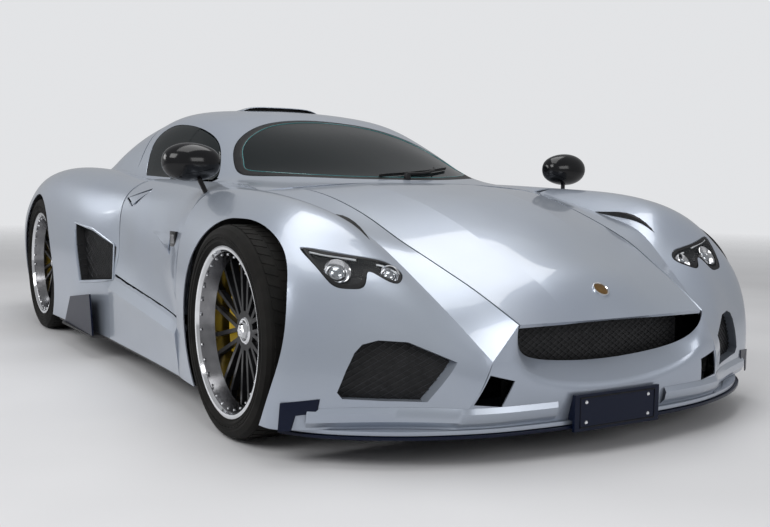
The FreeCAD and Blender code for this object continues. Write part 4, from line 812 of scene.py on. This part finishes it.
def dress_door(side, door):
    """Handle flap, crest with the facet behind it, and mirror glass."""
    tree = bvh(door)
    outward = Vector((0, side, 0))
    flap_rows = []
    for t in (0.05, 0.25, 0.5, 0.75, 0.95):
        low = (0.14 + 0.104 * t, 0.683 + 0.06 * t)
        top = (0.058 + 0.182 * t, 0.716 + 0.037 * t)
        row = []
        for share in (0.06, 0.5, 0.94):
            x, z = between(low[0], top[0], share), between(low[1], top[1], share)
            row.append((from_side(tree, x, z, 0, side) or Vector((x, side * 0.86, z))) + outward * 0.0085)
        flap_rows.append(row)
    add_piece(door + "_handle", slab(flap_rows, outward * -0.003), paint, door)

    facet_rows = []
    for t in (0, 0.2, 0.4, 0.6, 0.8, 1):
        top, low = (0.5 + 0.25 * t, 0.592 + 0.004 * t), (0.5 + 0.285 * t, 0.588 - 0.066 * t)
        facet_rows.append([
            from_side(tree, between(top[0], low[0], share), between(top[1], low[1], share), lift, side)
            for share, lift in ((0, 0.0012), (0.25, 0.0035), (0.75, 0.0075), (1, 0.0012))])
    add_piece(door + "_crest_facet", slab(facet_rows, outward * -0.004), paint, door)
    crest_place = from_side(tree, 0.832, 0.582, 0, side)
    crest = moved(block(0.062, 0.012, 0.056, 0.0035), at(crest_place + outward * 0.003))
    add_piece(door + "_crest", crest, gloss_black, door)
    shield = moved(block(0.034, 0.004, 0.032, 0.0015), at(crest_place + outward * 0.0085))
    add_piece(door + "_crest_face", shield, looks["disc"], door)

    mirror = door.replace("door", "mirror")
    low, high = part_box(mirror)
    mirror_tree = bvh(mirror)
    glass_rows = []
    for i in range(7):
        columns = [low.y + (high.y - low.y) * (0.12 + 0.76 * j / 10) for j in range(11)]
        hits = [landing(mirror_tree, (-1, y, 0.832 + 0.078 * i / 6), (1, 0, 0)) for y in columns]
        if all(hits):
            glass_rows.append([hit + Vector((-0.0015, 0, 0)) for hit in hits])
    add_piece(mirror + "_glass", grid(glass_rows), mirror_glass, door)


def line_door(side, door):
    """Lining, armrest and speaker ring on the inside."""
    tree = bvh(door)
    inwards = Vector((0, -side, 0))

    def inside(x, z):
        return landing(tree, (x, 0, z), (0, side, 0))
    rows = []
    for i in range(21):
        column = [inside(0.14 + 0.64 * i / 20, 0.43 + 0.26 * j / 10) for j in range(11)]
        if all(column):
            rows.append([spot + inwards * 0.004 for spot in column])
    add_piece(door + "_card", slab(rows, inwards * 0.006), trim, door)
    armrest = moved(block(0.3, 0.042, 0.044, 0.014, 3), at(inside(0.4, 0.57) + inwards * 0.026))
    add_piece(door + "_armrest", armrest, leather, door)
    ring = lathe([(0.046, 0), (0.047, 0.005), (0.053, 0.005), (0.055, 0)], 40)
    put = at(inside(0.68, 0.5) + inwards * 0.01) @ Matrix.Scale(-side, 4, (0, 1, 0))
    add_piece(door + "_speaker_ring", moved(ring, put), looks["disc"], door)


for dress in (dress_door, line_door):
    for side, door in DOORS:
        dress(side, door)

# Lip on the sills under the doors, and the edge round the side intakes

sill_tree = bvh("sills")
lip_rows = []
for j in range(41):
    x = 0.04 + 0.914 * j / 40
    heights = [0.28 + 0.002 * k for k in range(60)]
    crown = from_side(sill_tree, x, max(z for z in heights if from_side(sill_tree, x, z)))
    lip_rows.append([crown + Vector((0, y, z))
                     for y, z in ((0.0015, -0.034), (0.004, -0.026), (0.001, -0.002), (-0.004, 0.0105))])
add_piece("sill_lips", both_sides(slab(lip_rows, (0, -0.003, 0))), paint)
quarter_tree = bvh("rear_quarters")
intake_middle, intake_front = Vector((-0.19, 0.46)), 0.012
intake_outline = [(-0.402, 0.585), (-0.205, 0.5615), (0.003, 0.501), (0.003, 0.362), (-0.346, 0.325)]
edge_path = []
for (ax, az), (bx, bz) in zip(intake_outline, intake_outline[1:] + intake_outline[:1]):
    for step in range(8):
        px, pz = ax + (bx - ax) * step / 8, az + (bz - az) * step / 8
        away = (Vector((px, pz)) - intake_middle).normalized() * 0.01
        spot = from_side(quarter_tree, px + away.x, pz + away.y)
        if spot and px + away.x < intake_front:
            edge_path.append(spot)
add_piece("side_intake_edges", both_sides(tube(edge_path, 0.0045, 8)), paint)

# Rear: lamp rings, pipe ends, mesh band over a sheet of painted shade, and blank plate

lamp_profile = [(0.0595, -0.004), (0.06, 0.004), (0.064, 0.0055), (0.0675, 0.003), (0.0675, -0.006)]
eye_profile = [(0.0235, -0.001), (0.024, 0.004), (0.027, 0.0045), (0.0285, 0)]
core_profile = [(0, 0.0042), (0.012, 0.0036), (0.0235, 0.0012), (0.0235, -0.002)]
rings, cores = [], []
for y in (0.632, 0.428):
    hit, normal = facing(bvh("tail_lights"), (-4, y, 0.6), (1, 0, 0))
    put = at(hit) @ aimed(normal)
    rings += [moved(lathe(lamp_profile, 56), put), moved(lathe(eye_profile, 40), put)]
    cores.append(moved(lathe(core_profile, 32), put))
add_piece("tail_lamp_rings", both_sides(rings), gloss_black)
add_piece("tail_lamp_cores", both_sides(cores), looks["lamp"])
tip = lathe([(0.0525, 0.03), (0.0525, -0.002), (0.055, -0.0065), (0.059, -0.0055), (0.0605, 0),
             (0.059, 0.03)], 48)
add_piece("exhaust_tips", both_sides(moved(tip, at((-2.081, 0.13, 0.4)) @ turned(-90, "Z"))), chrome)

rear_tree = bvh("rear_bumper", "tail_lights")
vent_half, vent_low, vent_high = 0.52, 0.7, 0.76
# Black sheet on the bumper behind the vent mesh: painted shade for the vent's opening.
shade_panel_rows = [[from_front(rear_tree, -vent_half + 2 * vent_half * j / 40, z, 0.0012, -1) for j in range(41)]
              for z in (0.7, 0.712, 0.73, 0.748, 0.76)]
add_piece("rear_vent_shade_panel", grid(shade_panel_rows), liner_and_shade_black)
vent_wires = lattice(bvh("rear_bumper"), (-vent_half, vent_low), (vent_half, vent_high), 0.015, -1, 0.0035)
add_piece("rear_vent_mesh", vent_wires, wire)
rim_half, rim_low, rim_high = 0.525, 0.697, 0.763
rim_corners = [(-rim_half, rim_low), (-rim_half, rim_high), (rim_half, rim_high), (rim_half, rim_low)]
rim_path = [from_front(rear_tree, max(-rim_half, min(rim_half, y)), max(rim_low, min(rim_high, z)), 0.001, -1)
            for y, z in smooth_loop(rim_corners, 14)]
add_piece("rear_vent_rim", tube(rim_path, 0.003, 6, True), gloss_black)

plate_top, plate_middle, plate_low = (from_front(rear_tree, 0, z, 0, -1) for z in (0.661, 0.575, 0.489))
bulge = (plate_top.x + plate_low.x) / 2 - plate_middle.x
plate_put = (at((plate_top + plate_low) / 2 - Vector((max(bulge, 0) + 0.002, 0, 0)))
             @ Vector((0, 0, 1)).rotation_difference(plate_top - plate_low).to_matrix().to_4x4())
add_piece("rear_plate_blank", moved(block(0.004, 0.315, 0.152, 0.0015), plate_put @ at((-0.004, 0, 0))),
          bare_plate)
add_piece("rear_plate_holder", moved(block(0.006, 0.335, 0.172, 0.0025), plate_put), satin_black)
bolt = lathe([(0, 0.003), (0.0045, 0.0024), (0.006, 0), (0.006, -0.002)], 12)
plate_bolts = [moved(bolt, plate_put @ at((-0.0065, y, z)) @ turned(90, "Z"))
               for y in (-0.125, 0.125) for z in (-0.06, 0.06)]
add_piece("rear_plate_bolts", plate_bolts, chrome)

# Roof scoop: a thin raised lip over its slot, which is a black sheet of painted shade

roof_tree = bvh("cabin_frame", "windscreen", "engine_cover")
scoop_half, scoop_rise = 0.2, 0.019
lip_rows, shade_sheet_rows = [], []
for j in range(25):
    y = -scoop_half + 2 * scoop_half * j / 24
    rise = scoop_rise * (1 - (abs(y) / 0.205) ** 6)
    row = [drop(roof_tree, x, y) + Vector((0, 0, 0.0015 + rise * share)) for x, share in (
        (-0.268, 1), (-0.285, 1.06), (-0.315, 0.92), (-0.35, 0.55), (-0.385, 0.16), (-0.4, 0))]
    lip_rows.append(row)
    # The slot is a black sheet laid on the roof under the lip: painted shade for the scoop's opening.
    shade_sheet_floor = [drop(roof_tree, x, y * 0.97, 0.0015) for x in (-0.24, -0.262, -0.284)]
    shade_sheet_rows.append(shade_sheet_floor + [row[0] + Vector((-0.02, 0, -0.004))])
add_piece("roof_scoop_lip", slab(lip_rows, (0, 0, -0.003)), paint)
add_piece("roof_scoop_slot_shade", grid(shade_sheet_rows), liner_and_shade_black)


# Seats

SEAT_LINE = [  # from the front of the cushion to the headrest: x, z, half width, height of the raised sides
    (0.375, 0.3, 0.185, 0.01), (0.36, 0.335, 0.19, 0.02), (0.31, 0.345, 0.195, 0.034),
    (0.23, 0.33, 0.2, 0.046), (0.14, 0.305, 0.205, 0.055), (0.07, 0.29, 0.205, 0.058),
    (0.022, 0.3, 0.2, 0.058), (-0.008, 0.35, 0.2, 0.06), (-0.045, 0.43, 0.205, 0.064),
    (-0.085, 0.52, 0.208, 0.064), (-0.118, 0.6, 0.198, 0.052), (-0.14, 0.66, 0.17, 0.036),
    (-0.158, 0.71, 0.132, 0.022), (-0.175, 0.755, 0.112, 0.014), (-0.195, 0.795, 0.1, 0.008),
    (-0.222, 0.816, 0.09, 0.004)]
SEAT_HALF_STEPS = 12
SEAM_COLUMNS = (-8, 8)
QUILT_END, CUSHION_END = 56, 26  # last quilted row, and last row of the part that is sat on


def seat_shape(across):
    """Shaped seat: cushion and back with raised sides, then shell with base and runners, then seams."""
    fine = smooth_loop(SEAT_LINE, 4, False)
    rows, low = [], []
    seams = {column: [] for column in SEAM_COLUMNS}
    for i, (x, z, half_width, raised) in enumerate(fine):
        before, after = fine[max(i - 1, 0)], fine[min(i + 1, len(fine) - 1)]
        ahead = Vector((after[0] - before[0], 0, after[1] - before[1])).normalized()
        up = Vector((-ahead.z, 0, ahead.x))
        up = -up if up.dot(Vector((0.5, 0, 0.8))) < 0 else up
        row, under = [], []
        for j in range(-SEAT_HALF_STEPS, SEAT_HALF_STEPS + 1):
            t = j / SEAT_HALF_STEPS
            rise = raised * (max(0, abs(t) - 0.52) / 0.48) ** 1.3 * 1.1 - 0.016 * (1 - t * t)
            edge_drop = 0.05 * max(0, abs(t) - 0.9) / 0.1
            quilt = -0.0028 if abs(t) < 0.5 and i % 6 == 0 and i < QUILT_END else 0
            spot = Vector((x, across + t * half_width, z)) + up * (rise - edge_drop + quilt)
            row.append(spot)
            thickness = 0.075 if i > CUSHION_END else 0.085
            under.append(Vector((x, across + t * half_width * 1.02, z)) - up * thickness)
            if j in seams:
                seams[j].append(spot + up * 0.0012)
        rows.append(row)
        low.append(under)
    cushion = merged([grid(rows + low[::-1], True), edge_walls(rows, low)])
    shell_rows = []
    for top, under in zip(rows, low):
        away = (under[SEAT_HALF_STEPS] - top[SEAT_HALF_STEPS]).normalized() * 0.004
        shell_rows.append([point + away for point in under])
    shell = slab(shell_rows, (-0.008, 0, -0.006))
    shells = [shell, moved(block(0.4, 0.3, 0.1, 0.015), at((0.15, across, 0.16)))]
    shells += [moved(block(0.46, 0.028, 0.02, 0.004), at((0.13, across + y, 0.116))) for y in (-0.15, 0.15)]
    return cushion, shells, [tube(path, 0.0012, 4) for path in seams.values()]


cushions, shells, threads = [], [], []
for across in (0.34, -0.34):
    cushion, shell, seams = seat_shape(across)
    cushions.append(cushion)
    shells += shell
    threads += seams
seat_piece = add_piece("seat_cushions", cushions, leather, stands_for=("seats",))
add_piece("seat_shells", shells, carbon)
add_piece("seat_seams", threads, stitching)

# Dashboard

dash_tree = bvh("dashboard")
vents, bezels = [], []
for y in (-0.5, -0.12, 0.12, 0.5):
    hit, normal = facing(dash_tree, (0.2, y, 0.64), (1, 0, 0))
    put = at(hit) @ aimed(normal)
    bezels.append(moved(lathe([(0.03, -0.002), (0.031, 0.005), (0.036, 0.006), (0.038, 0)], 32), put))
    vents += [moved(block(0.056, 0.004, 0.0025), put @ at((0, 0.003, 0.012 * k))) for k in (-1, 0, 1)]
add_piece("dash_vent_rings", bezels, chrome)
add_piece("dash_vent_blades", vents, satin_black, smooth=False)
driver_y, hood_x = 0.34, 0.735
hood_rows = []
for j in range(17):
    t = j / 16 * 2 - 1
    top = drop(dash_tree, hood_x, driver_y + t * 0.15)
    rise = 0.045 * (1 - t ** 4)
    hood_rows.append([top + Vector((-0.06, 0, 0.004 + rise * 0.95)), top + Vector((-0.01, 0, 0.004 + rise)),
                      top + Vector((0.06, 0, 0.002 + rise * 0.5))])
add_piece("instrument_hood", slab(hood_rows, (0, 0, -0.006)), trim)
dial_place = drop(dash_tree, hood_x, driver_y) + Vector((-0.04, 0, 0.012))
dial_put = at(dial_place) @ turned(-18, "Y")
add_piece("instrument_screen", moved(block(0.004, 0.24, 0.06, 0.003), dial_put), screen)
centre = landing(dash_tree, (0.2, 0, 0.56), (1, 0, 0))
centre_put = at(centre + Vector((-0.004, 0, 0))) @ turned(-12, "Y")
add_piece("centre_screen", moved(block(0.008, 0.15, 0.085, 0.003), centre_put), screen)
knob = lathe([(0, 0.016), (0.009, 0.015), (0.011, 0)], 20)
add_piece("dash_knobs", [moved(knob, at(centre + Vector((0.004, y, -0.07))) @ turned(90, "Z"))
                         for y in (-0.045, 0, 0.045)], chrome)

# Pad on the steering wheel, square to its column

wheel_low, wheel_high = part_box("steering_wheel")
wheel_points = [vert.co for vert in frame["nodes"]["steering_wheel"].data.vertices]
column_end = max(wheel_points, key=lambda point: point.x)
near = [point for point in wheel_points if point.x < wheel_low.x + 0.2]
hub_end = Vector((sum(point.x for point in near) / len(near), (wheel_low.y + wheel_high.y) / 2,
                  sum(point.z for point in near) / len(near)))
wheel_put = at(hub_end) @ aimed(-(column_end - hub_end).normalized())
pad = lathe([(0, 0.026), (0.03, 0.025), (0.044, 0.018), (0.047, 0.004), (0.044, -0.006)], 40)
ring = lathe([(0.02, 0.0262), (0.0215, 0.0275), (0.0235, 0.0262), (0.0235, 0.022)], 32)
add_piece("steering_pad", moved(pad, wheel_put), trim)
add_piece("steering_pad_ring", moved(ring, wheel_put), chrome)

# Engine dressing on the plain block

BLOCK_TOP, BLOCK_MIDDLE, BLOCK_FRONT = 0.74, -0.735, -0.526
covers, runners, caps = [], [], []
cap = lathe([(0, 0.012), (0.005, 0.011), (0.0075, 0.006), (0.0075, 0)], 6)
for side in (1, -1):
    covers.append(moved(block(0.36, 0.11, 0.052, 0.016, 3),
                        at((BLOCK_MIDDLE, side * 0.172, BLOCK_TOP + 0.026))))
    covers += [moved(block(0.34, 0.007, 0.006, 0.002),
                     at((BLOCK_MIDDLE, side * 0.172 + 0.022 * k, BLOCK_TOP + 0.054)))
               for k in (-1.5, -0.5, 0.5, 1.5)]
    for count in range(4):
        x = -0.86 + 0.083 * count
        route = [(x, side * 0.118, BLOCK_TOP + 0.012), (x, side * 0.1, BLOCK_TOP + 0.062),
                 (x, side * 0.055, BLOCK_TOP + 0.092), (x, side * 0.02, BLOCK_TOP + 0.09)]
        runners.append(tube(smooth_loop(route, 4, False), 0.022, 14))
        caps.append(moved(cap, at((x, side * 0.222, BLOCK_TOP + 0.05)) @ turned(90, "X")))
covers.append(moved(block(0.4, 0.15, 0.08, 0.03, 4), at((BLOCK_MIDDLE, 0, BLOCK_TOP + 0.108))))
pulleys = []
for y, z, radius in ((0, 0.3, 0.075), (0.135, 0.43, 0.045), (-0.135, 0.43, 0.052), (0.075, 0.58, 0.034)):
    profile = [(0, 0.018), (radius * 0.4, 0.018), (radius * 0.5, 0.01), (radius * 0.86, 0.01),
               (radius, 0.018), (radius, 0.014), (radius * 0.94, 0.008), (radius, 0.002), (radius, 0)]
    pulleys.append(moved(lathe(profile, 36), at((BLOCK_FRONT, y, z)) @ turned(-90, "Z")))
belt = smooth_loop([(-0.517, y, z) for y, z in (
    (0, 0.225), (0.07, 0.275), (0.18, 0.425), (0.11, 0.59), (0.04, 0.59), (-0.15, 0.48),
    (-0.187, 0.43), (-0.07, 0.275))], 6)
hoses = [tube(smooth_loop(route, 6, False), radius, 12) for route, radius in (
    ([(-0.93, 0.2, 0.745), (-1, 0.22, 0.72), (-1.06, 0.235, 0.64), (-1.08, 0.225, 0.52)], 0.016),
    ([(-0.56, -0.205, 0.748), (-0.545, -0.235, 0.742), (-0.56, -0.275, 0.7), (-0.6, -0.285, 0.62)], 0.012))]
add_piece("engine_covers", covers, crackle)
add_piece("intake_runners", runners, looks["pipe"])
add_piece("engine_caps", caps, chrome)
add_piece("engine_pulleys", pulleys, looks["suspension"])
add_piece("engine_belt", tube(belt, 0.0045, 6, True), satin_black)
add_piece("engine_hoses", hoses, satin_black)

add_floor()
add_camera()
for name, (place, size, power) in LIGHTS.items():
    add_light(name, place, size, power)
light_world()
bpy.context.scene.view_settings.view_transform = "Standard"
